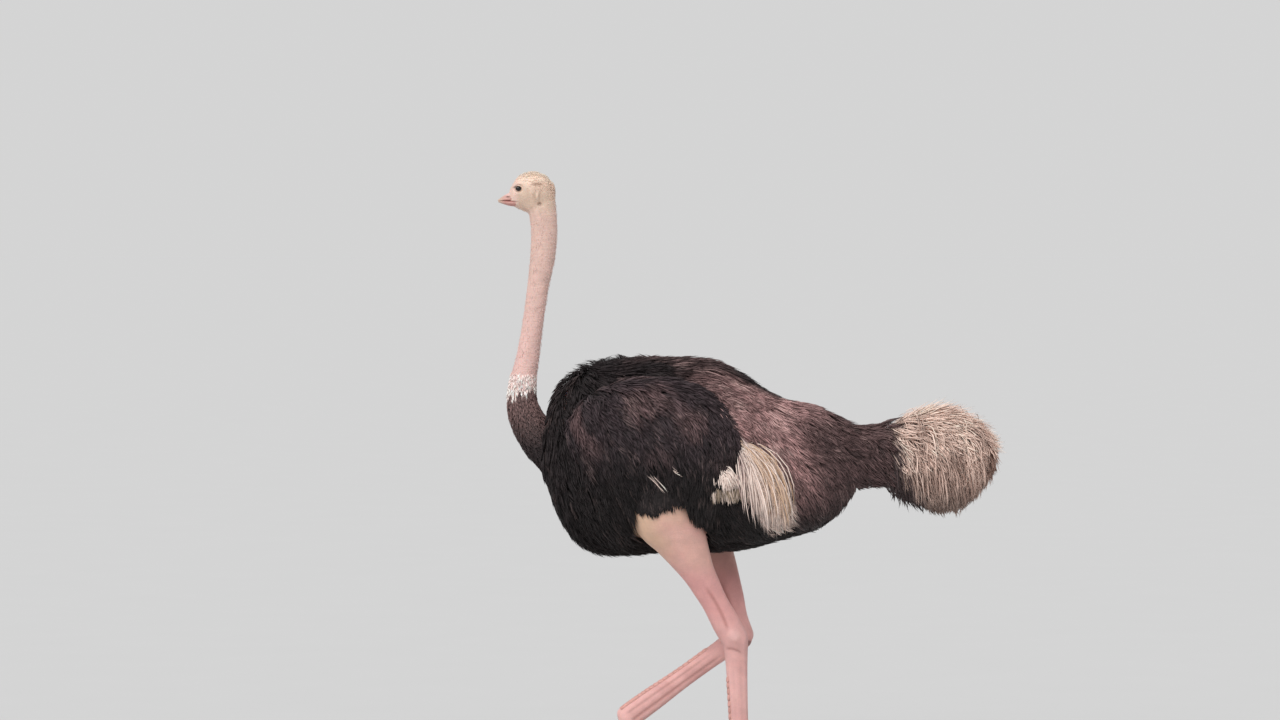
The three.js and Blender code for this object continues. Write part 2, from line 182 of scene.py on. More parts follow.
def ripple(points: Array, pitch: float, seed: int) -> Array:
    """A smooth uneven field over space, for mottling and clumps.

    Args:
        points: Places in metres.
        pitch: Rough size of one blotch.
        seed: Which field.

    Returns:
        One number from about -1 to 1 for each place.
    """
    rng = np.random.default_rng(seed)
    total = np.zeros(len(points))
    for _ in range(5):
        way = rng.normal(size=3)
        way /= np.linalg.norm(way)
        rate = rng.uniform(0.6, 1.4) * 2 * math.pi / (pitch * 2)
        total += np.sin(points @ way * rate + rng.uniform(0, 6.28))
    return total / 2.6


# ---------------------------------------------------------------- body forms
def unit(vectors: Array) -> Array:
    """Each vector at length 1."""
    return vectors / np.maximum(np.linalg.norm(vectors, axis=-1, keepdims=True), 1e-9)


def oval(x: float, z: float, deep: float, wide: float, y: float = 0.0) -> tuple:
    """A station of a form, given in millimetres by its middle and half sizes."""
    return (x * MM, y * MM, z * MM, deep * MM, wide * MM)


def slab(x: float, top: float, bottom: float, wide: float, y: float = 0.0) -> tuple:
    """A station given in millimetres by its top and bottom heights and half width."""
    return oval(x, (top + bottom) / 2, (top - bottom) / 2, wide, y)


def ovals(*rows: tuple) -> list[tuple]:
    """Stations from rows as oval takes them."""
    return [oval(*row) for row in rows]


def slabs(*rows: tuple) -> list[tuple]:
    """Stations from rows as slab takes them."""
    return [slab(*row) for row in rows]


@dataclass
class Form:
    """A rounded body form run through oval stations.

    A place on it is given by its share of the length, from 0 to 1, and by the turn
    round it: on the trunk a turn of 0 is the belly and half a turn is the back.
    """

    stations: list[tuple]
    upright: bool = False
    fullness: float = 2.0
    sag: float = 0.0
    domes: tuple[float, float] = (0.5, 0.5)
    cap: float = 0.07
    grooves: list[tuple[float, float, float]] = field(default_factory=list)

    def _spline(self, share: Array) -> Array:
        """Runs a smooth curve through the stations.

        Args:
            share: Places along the form between its first and last station.

        Returns:
            Middle and half sizes at each place.
        """
        rows = np.array(self.stations)
        last = len(rows) - 1
        spot = np.clip(share, 0, 1) * last
        base = np.clip(spot.astype(int), 0, last - 1)
        f = (spot - base)[:, None]
        padded = np.vstack([2 * rows[0] - rows[1], rows, 2 * rows[-1] - rows[-2]])
        p0, p1, p2, p3 = (padded[base + k] for k in range(4))
        return 0.5 * (
            2 * p1
            + (p2 - p0) * f
            + (2 * p0 - 5 * p1 + 4 * p2 - p3) * f**2
            + (3 * p1 - p0 - 3 * p2 + p3) * f**3
        )

    def place(self, share: Array, turn: Array, inset: Array | float = 0.0) -> Array:
        """Finds places on the form.

        Args:
            share: Shares of the length, domed ends included.
            turn: Turns round the form in radians.
            inset: How far under the surface.

        Returns:
            One place for each share and turn.
        """
        share = np.clip(np.asarray(share, float), 1e-5, 1 - 1e-5)
        inner = (share - self.cap) / (1 - 2 * self.cap)
        start = np.clip(-inner / self.cap * (1 - 2 * self.cap), 0, 1) * math.pi / 2
        end = np.clip((inner - 1) / self.cap * (1 - 2 * self.cap), 0, 1) * math.pi / 2
        shrink = np.cos(start) * np.cos(end)
        reach = self.domes[1] * np.sin(end) - self.domes[0] * np.sin(start)
        here = self._spline(inner)
        if self.upright:
            heading = np.tile([1.0, 0.0, 0.0], (len(share), 1))
        else:
            step = 1e-3
            mid = np.clip(inner, step, 1 - step)
            ahead, behind = self._spline(mid + step), self._spline(mid - step)
            heading = unit(ahead[:, :3] - behind[:, :3])
        down = unit(np.cross([0.0, 1.0, 0.0], heading))
        across = unit(np.cross(heading, down))
        deep = np.maximum(here[:, 3] - inset, 0.003)
        wide = np.maximum(here[:, 4] - inset, 0.003)
        c, s = np.cos(turn), np.sin(turn)
        power = 2 / self.fullness
        full_c, full_s = np.sign(c) * np.abs(c) ** power, np.sign(s) * np.abs(s) ** power
        scale = shrink * self._groove(inner, turn)
        drop = (deep * full_c + self.sag * deep * s * s) * scale
        return (
            here[:, :3]
            + heading * (deep * reach)[:, None]
            + down * drop[:, None]
            + across * (wide * full_s * scale)[:, None]
        )

    def _groove(self, inner: Array, turn: Array) -> Array:
        """How much long grooves between tendons narrow the form at each place.

        Args:
            inner: Shares of the way between the end stations.
            turn: Turns round the form.

        Returns:
            A share of the full size for each place.
        """
        narrow = np.ones_like(inner)
        away = np.abs((turn + math.pi) % (2 * math.pi) - math.pi)
        for at, width, depth in self.grooves:
            narrow -= depth * hump(away, at, width)
        return narrow

    def tangents(self, share: Array, turn: Array) -> tuple[Array, Array, Array, Array]:
        """Finds places with the run of the surface at each.

        Args:
            share: Shares of the length.
            turn: Turns round the form in radians.

        Returns:
            Places, change for each step of share, change for each step of turn, and
            unit ways outward.
        """
        step = 2e-3
        here = self.place(share, turn)
        along = (self.place(share + step, turn) - self.place(share - step, turn)) / (2 * step)
        around = (self.place(share, turn + step) - self.place(share, turn - step)) / (2 * step)
        return here, along, around, unit(np.cross(around, along))

    def lane(self, count: int, end: float = 1.0) -> Array:
        """Middles and half sizes at even steps from the start to a share of the length."""
        return self._spline(np.linspace(0, end, count))

    def locate(self, points: Array, count: int = 60) -> tuple[Array, Array, Array]:
        """Finds where places lie against the form.

        Args:
            points: Places near it.
            count: How many steps along it to compare with.

        Returns:
            Share of the way between the end stations, turn round the form, and
            distance from its middle as a share of its radius.
        """
        rows = self.lane(count)
        heading = unit(np.gradient(rows[:, :3], axis=0))
        near, step = np.full(len(points), np.inf), np.zeros(len(points), int)
        for k, row in enumerate(rows):
            away = np.sum((points - row[:3]) ** 2, 1)
            step = np.where(away < near, k, step)
            near = np.minimum(away, near)
        down = unit(np.cross([0.0, 1.0, 0.0], heading))[step]
        across = unit(np.cross(heading[step], down))
        gap = points - rows[step, :3]
        c, s = np.sum(gap * down, 1) / rows[step, 3], np.sum(gap * across, 1) / rows[step, 4]
        return step / (count - 1), np.arctan2(s, c), np.hypot(c, s)

    def cleared(self, points: Array, margin: float) -> Array:
        """Moves places that are inside the form sideways until they clear it.

        Args:
            points: Places near it.
            margin: How far outside they end.

        Returns:
            The moved places.
        """
        share, turn, reach = self.locate(points)
        rows = self._spline(share)
        c = np.clip(reach * np.cos(turn), -1, 1)
        limit = np.abs(rows[:, 1]) + rows[:, 4] * np.sqrt(1 - c * c) + margin
        out = np.sign(rows[:, 1]) * np.maximum(np.abs(points[:, 1]), limit)
        moved = points.copy()
        moved[:, 1] = np.where(reach < 1.1, out, points[:, 1])
        return moved

    def add_to(self, bm: BMesh, rings: int, sides: int, inset: tuple = ((0, 0),)) -> None:
        """Wraps a grid into this form as a closed shell in the bmesh.

        Args:
            bm: The mesh to add to.
            rings: Steps along the form.
            sides: Steps round it.
            inset: How far under the surface the shell lies, as pairs of share and depth.
        """
        verts, flat = flat_sheet(bm, rings, sides)
        share, turn = (flat[:, 0] + 1) / 2, (flat[:, 1] + 1) * math.pi
        depth = np.interp(share, *zip(*inset))
        for vert, spot in zip(verts, self.place(share, turn, depth)):
            vert.co = spot
        bmesh.ops.remove_doubles(bm, verts=verts, dist=2e-5)


class Side(Enum):
    """The bird's two sides, with their sign along Y."""

    LEFT = -1
    RIGHT = 1

    @property
    def tag(self) -> str:
        """The side's name as it ends a node's name."""
        return self.name.lower()


@dataclass(frozen=True)
class Stride:
    """Where one leg's joints stand, in millimetres."""

    side: Side
    hip: tuple[float, float]
    shin: tuple[float, float]
    ankle: tuple[float, float]
    toe_joint: tuple[float, float]
    foot_out: float
    drop: float
    calf: float = 0.0
    heel: float = 0.0

    def foot_point(self, reach: float, lift: float, splay: float, out: float = 0.0) -> tuple:
        """A place forwards of the toe joint, square to the foot, splayed outwards.

        Args:
            reach: Distance from the joint in millimetres.
            lift: Distance above the joint's line.
            splay: Degrees outwards from straight ahead.
            out: Extra distance outwards at the joint.

        Returns:
            x, y and z in millimetres.
        """
        drop, angle = math.radians(self.drop), math.radians(splay)
        run = reach * math.cos(angle)
        x = self.toe_joint[0] - math.cos(drop) * run - math.sin(drop) * lift
        z = self.toe_joint[1] - math.sin(drop) * run + math.cos(drop) * lift
        y = self.side.value * (self.foot_out + out + reach * math.sin(angle))
        return x, y, z


@dataclass
class Anatomy:
    """The bird's body forms out to the tips of its feathers, as the frame has them."""

    leg_spread: float = 146
    ankle_spread: float = 84
    main_toe: float = 178
    outer_toe: float = 104
    wing_out: float = 150

    @property
    def strides(self) -> tuple[Stride, Stride]:
        """The planted left leg and the lifted right leg."""
        left = Stride(
            Side.LEFT, (-168, 1052), (-114, 966), (82, 600), (103, 92), 50, 0
        )
        right = Stride(
            Side.RIGHT, (-90, 1062), (-36, 976), (104, 602), (-308, 318), 72, 58, 10, 6
        )
        return left, right

    def skull(self) -> Form:
        """The skull and cheeks from the root of the bill to the back of the head.

        Returns:
            The form, from bill root to nape.
        """
        rows = slabs(
            (-702, 2188, 2119, 25), (-686, 2214, 2112, 35), (-660, 2230, 2100, 40),
            (-622, 2237, 2088, 42), (-585, 2224, 2090, 38), (-566, 2204, 2108, 29),
        )
        return Form(rows, upright=True, sag=-0.05, domes=(0.25, 0.32))

    def neck(self) -> Form:
        """The neck from inside the breast up into the skull.

        Returns:
            The form, from the breast upwards.
        """
        rows = ovals(
            (-466, 1176, 82, 66), (-530, 1234, 80, 64), (-593, 1292, 73, 60), (-637, 1350, 64, 56),
            (-662, 1412, 57, 52), (-664, 1490, 50, 46), (-645, 1591, 42, 38), (-627, 1713, 38, 34),
            (-610, 1832, 39, 34), (-593, 1941, 45, 37), (-588, 2030, 47, 38), (-592, 2088, 49, 38),
            (-597, 2140, 49, 36),
        )
        return Form(rows, domes=(0.6, 0.6), cap=0.03)

    def trunk(self) -> Form:
        """The feathered trunk and tail in one.

        Returns:
            The form, from the breast to the end of the tail.
        """
        rows = slabs(
            (-600, 1300, 1196, 40), (-578, 1384, 1148, 92), (-538, 1492, 1040, 144),
            (-480, 1543, 948, 184), (-400, 1575, 905, 212), (-260, 1588, 901, 234),
            (-100, 1590, 908, 242), (20, 1576, 908, 240), (120, 1518, 918, 226),
            (230, 1452, 950, 198), (340, 1426, 980, 160), (428, 1391, 1030, 122),
            (508, 1353, 1120, 92), (600, 1366, 1136, 88), (700, 1410, 1094, 104),
            (800, 1420, 1056, 122), (890, 1390, 1074, 112), (960, 1340, 1150, 74),
        )
        return Form(rows, upright=True, fullness=2.15, sag=0.06, domes=(0.25, 0.36), cap=0.03)

    def wing(self, side: Side) -> Form:
        """A folded wing on the flank.

        Args:
            side: Which side of the bird.

        Returns:
            The form, from its front edge to its rear one.
        """
        out = side.value * self.wing_out
        rows = slabs(
            (-492, 1392, 1262, 74, out * 0.8), (-430, 1478, 1156, 108, out * 0.92),
            (-320, 1516, 1068, 126, out), (-180, 1526, 1024, 130, out), (-50, 1500, 1038, 128, out),
            (40, 1438, 1096, 112, out), (88, 1352, 1180, 92, out),
        )
        return Form(rows, upright=True, fullness=2.1, domes=(0.3, 0.12))

    def quills(self, side: Side) -> tuple[Form, Form]:
        """The two overlapping tufts of pale plumes behind a wing.

        Args:
            side: Which side of the bird.

        Returns:
            The long tuft and the small white one.
        """
        s = side.value
        main = [
            oval(82, 1290, 28, 22, s * 208),
            oval(134, 1232, 44, 30, s * 206),
            oval(184, 1156, 62, 34, s * 204),
            oval(220, 1074, 76, 34, s * 196),
            oval(236, 1012, 58, 28, s * 186),
        ]
        small = [
            oval(44, 1232, 26, 22, s * 222),
            oval(62, 1160, 46, 26, s * 224),
            oval(70, 1096, 38, 22, s * 216),
        ]
        return Form(main), Form(small)

    def upper_leg(self, stride: Stride) -> Form:
        """The thigh and drumstick down to the ankle.

        Args:
            stride: The leg it belongs to.

        Returns:
            The form, from the hip down.
        """
        s = stride.side.value
        high, low = s * self.leg_spread, s * self.ankle_spread
        (hx, hz), (sx, sz), (ax, az) = stride.hip, stride.shin, stride.ankle

        def down(t: float, deep: float, wide: float, spread: float, out: float = 0) -> tuple:
            """A station a share of the way from the shin to the ankle."""
            y, swell = high + (low - high) * spread, stride.calf * out
            return oval(sx + (ax - sx) * t + swell, sz + (az - sz) * t, deep + swell, wide, y)

        rows = [
            oval(hx - 30, hz + 96, 112, 108, high * 1.04),
            oval(hx, hz, 117, 110, high * 1.04),
            oval(sx, sz, 95, 82, high),
            down(0.31, 61, 56, 0.3, 1),
            down(0.48, 52, 45, 0.5, 1),
            down(0.64, 47, 38, 0.7, 0.8),
            down(0.82, 50, 38, 0.9),
            down(1.0, 48, 41, 1.0),
        ]
        return Form(rows, domes=(0.3, 0.75), grooves=[(2.25, 0.3, 0.06)])

    def shank(self, stride: Stride) -> Form:
        """The shank from the ankle to the toe joint.

        Args:
            stride: The leg it belongs to.

        Returns:
            The form, from the ankle down.
        """
        s = stride.side.value
        (ax, az), (fx, fz) = stride.ankle, stride.toe_joint

        length = math.hypot(fx - ax, fz - az)
        under = ((az - fz) / length * stride.heel, (fx - ax) / length * stride.heel)
        far = 38 if stride.drop else 34

        def at(t: float, deep: float, wide: float, full: float = 0) -> tuple:
            """A station a share of the way down the shank, swollen underneath by full.

            Args:
                t: Share of the way.
                deep: Half size fore and aft in millimetres.
                wide: Half size across.
                full: Share of the swelling.

            Returns:
                The station.
            """
            y = s * (self.ankle_spread + (stride.foot_out - self.ankle_spread) * t)
            x, z = ax + (fx - ax) * t + under[0] * full, az + (fz - az) * t + under[1] * full
            return oval(x, z, deep + stride.heel * full, wide, y)

        rows = [
            at(0, 46, 41),
            at(0.09, 42, 35),
            at(0.24, 38, 28),
            at(0.5, 35, 26, 0.4),
            at(0.75, far, 28, 0.8),
            at(0.92, 38 if stride.drop else 36, 32, 1),
            at(1, 36, 35, 0.8),
        ]
        grooves = [(1.95, 0.2, 0.13), (1.2, 0.2, 0.07)]
        return Form(rows, domes=(0.8, 0.55), grooves=grooves)

    def fringe(self, stride: Stride, x: Array) -> Array:
        """Height of the lower edge of the wing plumes over a thigh.

        Args:
            stride: The leg it hangs over.
            x: Places along the bird in metres.

        Returns:
            Heights in metres.
        """
        gap = x - stride.hip[0] * MM
        across = [-0.175, -0.15, -0.034, 0.01, 0.09, 0.152, 0.163]
        height = [1.06, 1.08, 1.052, 1.073, 1.09, 1.006, 0.92]
        return np.interp(gap, across, height) + stride.hip[1] * MM - 1.052

    def toe(self, stride: Stride, rows: list[tuple], splay: float, out: float = 0.0) -> Form:
        """A toe or claw from rows of reach, lift and half sizes in millimetres.

        Args:
            stride: The leg it belongs to.
            rows: Reach, lift and half sizes.
            splay: Degrees outwards from straight ahead.
            out: Extra distance outwards.

        Returns:
            The form, from the toe joint to the tip.
        """
        stations = []
        for reach, lift, deep, wide in rows:
            x, y, z = stride.foot_point(reach, lift, splay, out)
            stations.append(oval(x, z, deep, wide, y))
        return Form(stations, domes=(0.4, 0.6))

    def main_toe_form(self, stride: Stride) -> Form:
        """The big inner toe with its knuckle pads.

        Args:
            stride: The leg it belongs to.

        Returns:
            The form, from the toe joint forwards.
        """
        n = self.main_toe
        rows = [
            (-12, -18, 36, 34),
            (n * 0.16, -28, 36, 35),
            (n * 0.34, -35, 29, 29),
            (n * 0.55, -36, 28, 31),
            (n * 0.7, -40, 24, 27),
            (n * 0.88, -41, 24, 29),
            (n, -44, 19, 23),
        ]
        return self.toe(stride, rows, -3)

    def outer_toe_form(self, stride: Stride) -> Form:
        """The small outer toe.

        Args:
            stride: The leg it belongs to.

        Returns:
            The form, from the toe joint forwards.
        """
        n = self.outer_toe
        rows = [
            (8, -32, 25, 20),
            (n * 0.4, -40, 20, 17),
            (n * 0.7, -45, 18, 18),
            (n, -50, 13, 13),
        ]
        return self.toe(stride, rows, 26, 16)

    def main_claw_form(self, stride: Stride) -> Form:
        """The thick blunt claw of the big toe.

        Args:
            stride: The leg it belongs to.

        Returns:
            The form, from the toe to the point.
        """
        n = self.main_toe
        rows = [
            (n - 8, -44, 14, 16),
            (n + 20, -47, 13, 14),
            (n + 42, -51, 9, 9),
            (n + 54, -55, 5, 5),
        ]
        return replace(self.toe(stride, rows, -3), domes=(0.2, 0.8))

    def outer_claw_form(self, stride: Stride) -> Form:
        """The nub of a claw on the outer toe.

        Args:
            stride: The leg it belongs to.

        Returns:
            The form, from the toe to the point.
        """
        n = self.outer_toe
        rows = [(n + 2, -50, 9, 8), (n + 12, -52, 7, 6), (n + 22, -55, 4, 4)]
        return replace(self.toe(stride, rows, 26, 16), domes=(0.2, 0.9))


# ---------------------------------------------------------------- markings
@dataclass(frozen=True)
class Markings:
    """The bird's colours by place, shared by its skin and its coat."""

    ring_top: float = 1.522
    ring_low: float = 1.446
    neck_x: float = -0.664
    ear_x: float = -0.611
    ear_z: float = 2.152
    ear_bend: float = 12.0
    ear_hole: Oval = (-0.604, 2.1265, 0.008, 0.007)
    brown_patch: Oval = (-0.609, 2.1945, 0.019, 0.0055)
    behind_eye: Oval = (-0.648, 2.172, 0.012, 0.012)

    def ring_edge(self, points: Array) -> Array:
        """Height of the ragged lower edge of the white ring at each place.

        Args:
            points: Places on the neck.

        Returns:
            Heights in metres.
        """
        turn = np.arctan2(points[:, 1], points[:, 0] - self.neck_x)
        jag = 0.012 * np.sin(7 * turn + 1.0) + 0.008 * np.sin(17 * turn)
        return self.ring_low + jag + 0.02 * np.cos(turn)

    def neck(self, points: Array) -> Array:
        """Colours of the neck: pink above, a white ring, dark brown below.

        Args:
            points: Places on the neck.

        Returns:
            One linear colour for each place.
        """
        z = points[:, 2]
        bare = blend(Hue.NECK_LOW, Hue.NECK_HIGH, smooth(z, 1.55, 2.05))
        ringed = blend(Hue.RING, bare, smooth(z, self.ring_top - 0.012, self.ring_top + 0.012))
        dark = blend(Hue.NECK_BASE, Hue.NECK_BROWN, smooth(z, 1.24, 1.42))
        edge = self.ring_edge(points)
        return blend(dark, ringed, smooth(z - edge, -0.004, 0.004))

    def behind_ear(self, points: Array) -> Array:
        """How far places lie behind the bent pale fold before the ear."""
        return points[:, 0] - self.ear_x - self.ear_bend * (points[:, 2] - self.ear_z) ** 2

    def head(self, points: Array) -> Array:
        """Colours of the head: cream crown, duller cheeks, brown about the ear, with painted shade in
        the ear opening.

        Args:
            points: Places on the head.

        Returns:
            One linear colour for each place.
        """
        x, z = points[:, 0], points[:, 2]
        mottle = 0.5 + 0.5 * ripple(points, 0.012, 3)
        tint = blend(Hue.CHEEK, Hue.CROWN, smooth(z, 2.17, 2.215))
        tint = blend(tint, Hue.LORE, fade(x, -0.69, -0.668) * 0.8)
        tint = blend(tint, Hue.NECK_HIGH, fade(z, 2.07, 2.13))
        brown, behind = Hue.EAR_BROWN.linear, self.behind_ear(points)
        streak = hump(behind, 0, 0.0042) * hump(z, 2.155, 0.013) * (0.6 + 0.4 * mottle)
        either = hump(behind, 0, 0.0125) * hump(z, 2.154, 0.02) * (0.5 + 0.5 * mottle)
        tint = blend(tint, brown, 0.7 * either * (1 - streak))
        tint = blend(tint, Hue.CROWN, 0.7 * streak)
        # Painted shade in the ear opening.
        tint = blend(tint, brown * 0.8, 0.7 * fade(oval_reach(x, z, self.ear_hole), 0.4, 1.3))
        tint = blend(tint, brown, 0.8 * fade(oval_reach(x, z, self.brown_patch), 0.5, 1.4))
        tint = blend(tint, brown, 0.3 * fade(oval_reach(x, z, self.behind_eye), 0.3, 1.2) * mottle)
        return tint * (0.94 + 0.1 * mottle)[:, None]

    def legs(self, points: Array) -> Array:
        """Colours of the bare legs: beige thigh, pink drumstick, shank and toes.

        Args:
            points: Places on the legs.

        Returns:
            One linear colour for each place.
        """
        z = points[:, 2]
        tint = blend(Hue.SHANK, Hue.ANKLE, smooth(z, 0.52, 0.6))
        tint = blend(tint, Hue.DRUMSTICK, smooth(z, 0.63, 0.72))
        tint = blend(tint, Hue.THIGH_PINK, smooth(z, 0.8, 0.9))
        tint = blend(tint, Hue.TOE, fade(z, 0.05, 0.13))
        blotch = smooth(ripple(points, 0.05, 8), 0.1, 0.9)
        return blend(tint, Hue.DRUMSTICK.linear * 0.92, 0.3 * blotch)

    def trunk(self, points: Array) -> Array:
        """Colours of the body plumage: black with painted shade towards the belly, brown over the rump
        with streaks of painted sheen, and painted sheen over the top of the back.

        Args:
            points: Places on the trunk.

        Returns:
            One linear colour for each place.
        """
        x, y, z = points.T
        uneven = 0.045 * ripple(points, 0.12, 5)
        # Painted shade: the black plumage darkens towards the belly.
        tint = blend(Hue.UNDERSIDE_SHADE, Hue.BLACK, smooth(z + uneven, 0.95, 1.25))
        back = x + 1.6 * uneven - 0.25 * (1.4 - z) - 0.9 * np.maximum(z - 1.46, 0)
        above = z + uneven - (1.2 - 0.36 * np.clip(x, 0, 0.4))
        beside = np.abs(y) + 0.6 * np.maximum(x - 0.12, 0)
        rump = smooth(back, -0.14, 0.16) * smooth(above, -0.05, 0.07) * smooth(beside, 0.06, 0.13)
        tint = blend(tint, Hue.RUMP, rump)
        # Painted sheen: the top of the back is lighter and browner.
        top_sheen = smooth(z + uneven, 1.49, 1.57) * smooth(x, -0.34, -0.2) * (1 - rump)
        tint = blend(tint, Hue.RUMP.linear * 0.8, 0.22 * top_sheen)
        # Painted sheen: lighter streaks over the brown of the rump.
        streak = smooth(ripple(points, 0.045, 6), 0.0, 1.0) * rump
        streak = streak * smooth(x, -0.02, 0.1) * fade(x, 0.16, 0.36)
        tint = blend(tint, Hue.RUMP_LIGHT, 0.55 * streak)
        return blend(tint, Hue.TAIL_STALK, 0.85 * smooth(x + uneven, 0.28, 0.44))

    def skin(self, points: Array) -> Array:
        """Colours of the whole skin, under the coat and bare.

        Args:
            points: Places on the skin.

        Returns:
            One linear colour for each place.
        """
        x, z = points[:, 0], points[:, 2]
        on_neck = (x < -0.5) & (z > 1.18 + 0.9 * (x + 0.6))
        tint = self.trunk(points)
        tint = blend(tint, Hue.BUFF, smooth(x, 0.7, 0.74) * smooth(z, 1.1, 1.18))
        tint = np.where(on_neck[:, None], self.neck(points), tint)
        return np.where(((z > 2.07) & (x < -0.5))[:, None], self.head(points), tint)


# ---------------------------------------------------------------- materials
class NodeGraph:
    """A short way to wire a material's nodes."""

    def __init__(self, name: str) -> None:
        """Starts a material with a Principled shader.

        Args:
            name: The material's name.
        """
        self.material = bpy.data.materials.new(name)
        self.material.use_nodes = True
        self.tree = self.material.node_tree
        self.shader = self.tree.nodes["Principled BSDF"]

    def node(self, kind: str, **settings: object) -> bpy.types.Node:
        """Adds a node and sets its properties.

        Args:
            kind: Blender's name for the node type.
            settings: Properties of the node by name.

        Returns:
            The new node.
        """
        made = self.tree.nodes.new(kind)
        for key, value in settings.items():
            setattr(made, key, value)
        return made

    def link(self, out: NodeSocket, into: NodeSocket) -> None:
        """Joins two sockets."""
        self.tree.links.new(out, into)

    def scalar(self, how: str, first: object, second: object) -> NodeSocket:
        """Adds a math step.

        Args:
            how: The operation.
            first: A socket or a number.
            second: A socket or a number.

        Returns:
            The result socket.
        """
        made = self.node("ShaderNodeMath", operation=how)
        for slot, value in zip(made.inputs, (first, second)):
            if isinstance(value, (int, float)):
                slot.default_value = value
            else:
                self.link(value, slot)
        return made.outputs[0]

    def noise(self, scale: float, stretch: tuple = (1, 1, 1), detail: float = 3) -> NodeSocket:
        """Adds a noise over object space.

        Args:
            scale: Blotches in each metre.
            stretch: Extra rate along each axis.
            detail: How many finer layers.

        Returns:
            The noise's value socket.
        """
        spot = self.node("ShaderNodeTexCoord").outputs["Object"]
        mapping = self.node("ShaderNodeMapping")
        mapping.inputs["Scale"].default_value = stretch
        self.link(spot, mapping.inputs["Vector"])
        made = self.node("ShaderNodeTexNoise")
        made.inputs["Scale"].default_value = scale
        made.inputs["Detail"].default_value = detail
        self.link(mapping.outputs[0], made.inputs["Vector"])
        return made.outputs[0]

    def attribute(self, name: str) -> bpy.types.Node:
        """Reads a mesh attribute."""
        return self.node("ShaderNodeAttribute", attribute_name=name)

    def tinted(self, colour: NodeSocket, value: NodeSocket, low: float, high: float) -> None:
        """Lightens and darkens a colour by a value and gives it to the shader.

        Args:
            colour: The colour socket.
            value: A value from 0 to 1.
            low: Brightness where the value is 0.
            high: Brightness where the value is 1.
        """
        span = self.node("ShaderNodeMapRange")
        span.inputs["From Min"].default_value = 0.25
        span.inputs["From Max"].default_value = 0.75
        span.inputs["To Min"].default_value = low
        span.inputs["To Max"].default_value = high
        self.link(value, span.inputs["Value"])
        scaled = self.node("ShaderNodeVectorMath", operation="SCALE")
        self.link(colour, scaled.inputs[0])
        self.link(span.outputs[0], scaled.inputs["Scale"])
        self.link(scaled.outputs[0], self.shader.inputs["Base Color"])

    def bump(self, height: NodeSocket, depth: float, strength: float = 1.0) -> None:
        """Raises the surface by a height socket, depth metres for a full step.

        Args:
            height: The height socket.
            depth: Metres for a full step.
            strength: Share of the full effect.
        """
        made = self.node("ShaderNodeBump")
        made.inputs["Distance"].default_value = depth
        made.inputs["Strength"].default_value = strength
        self.link(height, made.inputs["Height"])
        self.link(made.outputs[0], self.shader.inputs["Normal"])

    def settings(self, **values: float) -> None:
        """Sets constant numbers on the shader, named with _ for spaces.

        Args:
            values: The shader's numbers by name.
        """
        for key, value in values.items():
            name = key.replace("_", " ").title().replace("Ior", "IOR")
            self.shader.inputs[name].default_value = value


@dataclass(frozen=True)
class PlumeFinish:
    """Matt loose feather barbs tinted by their own attribute."""

    name: str
    roughness: float = 0.6
    sheen: float = 0.04
    uneven: float = 0.16

    def make(self) -> Material:
        """Builds the material.

        Returns:
            The plume material.
        """
        graph = NodeGraph(self.name)
        tint = graph.attribute("Tint").outputs["Color"]
        fine = graph.noise(180, (1, 1, 1), 2)
        graph.tinted(tint, fine, 1 - self.uneven, 1 + self.uneven)
        graph.settings(roughness=self.roughness, sheen_weight=self.sheen, specular_ior_level=0.22)
        graph.shader.inputs["Sheen Roughness"].default_value = 0.45
        return graph.material


@dataclass(frozen=True)
class SkinFinish:
    """Bare bird skin: mottled, pored, scaled on the legs and creased on the neck."""

    name: str = "bird_skin"
    roughness: float = 0.56
    cell_rate: float = 330.0
    crease_rate: float = 62.0

    def make(self) -> Material:
        """Builds the material.

        Returns:
            The skin material.
        """
        graph = NodeGraph(self.name)
        tint = graph.attribute("Tint").outputs["Color"]
        broad, fine = graph.noise(26, detail=4), graph.noise(240, detail=3)
        small, large = graph.scalar("MULTIPLY", fine, 0.4), graph.scalar("MULTIPLY", broad, 0.6)
        mixed = graph.scalar("ADD", small, large)
        graph.tinted(tint, mixed, 0.86, 1.12)
        spot = graph.node("ShaderNodeTexCoord").outputs["Object"]
        cells = graph.node("ShaderNodeTexVoronoi", feature="DISTANCE_TO_EDGE")
        cells.inputs["Scale"].default_value = self.cell_rate
        graph.link(spot, cells.inputs["Vector"])
        plates = graph.scalar("MINIMUM", cells.outputs["Distance"], 0.12)
        plates = graph.scalar("MULTIPLY", plates, 5.0)
        scaled = graph.scalar("MULTIPLY", plates, graph.attribute("Scaly").outputs["Fac"])
        creases = graph.noise(self.crease_rate, (0.25, 0.25, 2.2), 2)
        creased = graph.scalar("MULTIPLY", creases, graph.attribute("Creased").outputs["Fac"])
        height = graph.scalar("ADD", scaled, graph.scalar("MULTIPLY", creased, 1.6))
        height = graph.scalar("ADD", height, graph.scalar("MULTIPLY", fine, 0.5))
        graph.bump(height, 0.0011)
        graph.settings(roughness=self.roughness, subsurface_weight=0.12, specular_ior_level=0.35)
        graph.shader.inputs["Subsurface Radius"].default_value = (0.9, 0.35, 0.2)
        graph.shader.inputs["Subsurface Scale"].default_value = 0.006
        return graph.material


@dataclass(frozen=True)
class HornFinish:
    """Bill, scute and claw horn with fine growth lines."""

    name: str
    roughness: float = 0.42
    lines: tuple[float, float, float] = (0.3, 1.0, 3.0)

    def make(self) -> Material:
        """Builds the material.

        Returns:
            The horn material.
        """
        graph = NodeGraph(self.name)
        tint = graph.attribute("Tint").outputs["Color"]
        grain = graph.noise(150, self.lines, 4)
        graph.tinted(tint, grain, 0.84, 1.14)
        graph.bump(grain, 0.0008)
        graph.settings(roughness=self.roughness, coat_weight=0.15, coat_roughness=0.3)
        return graph.material


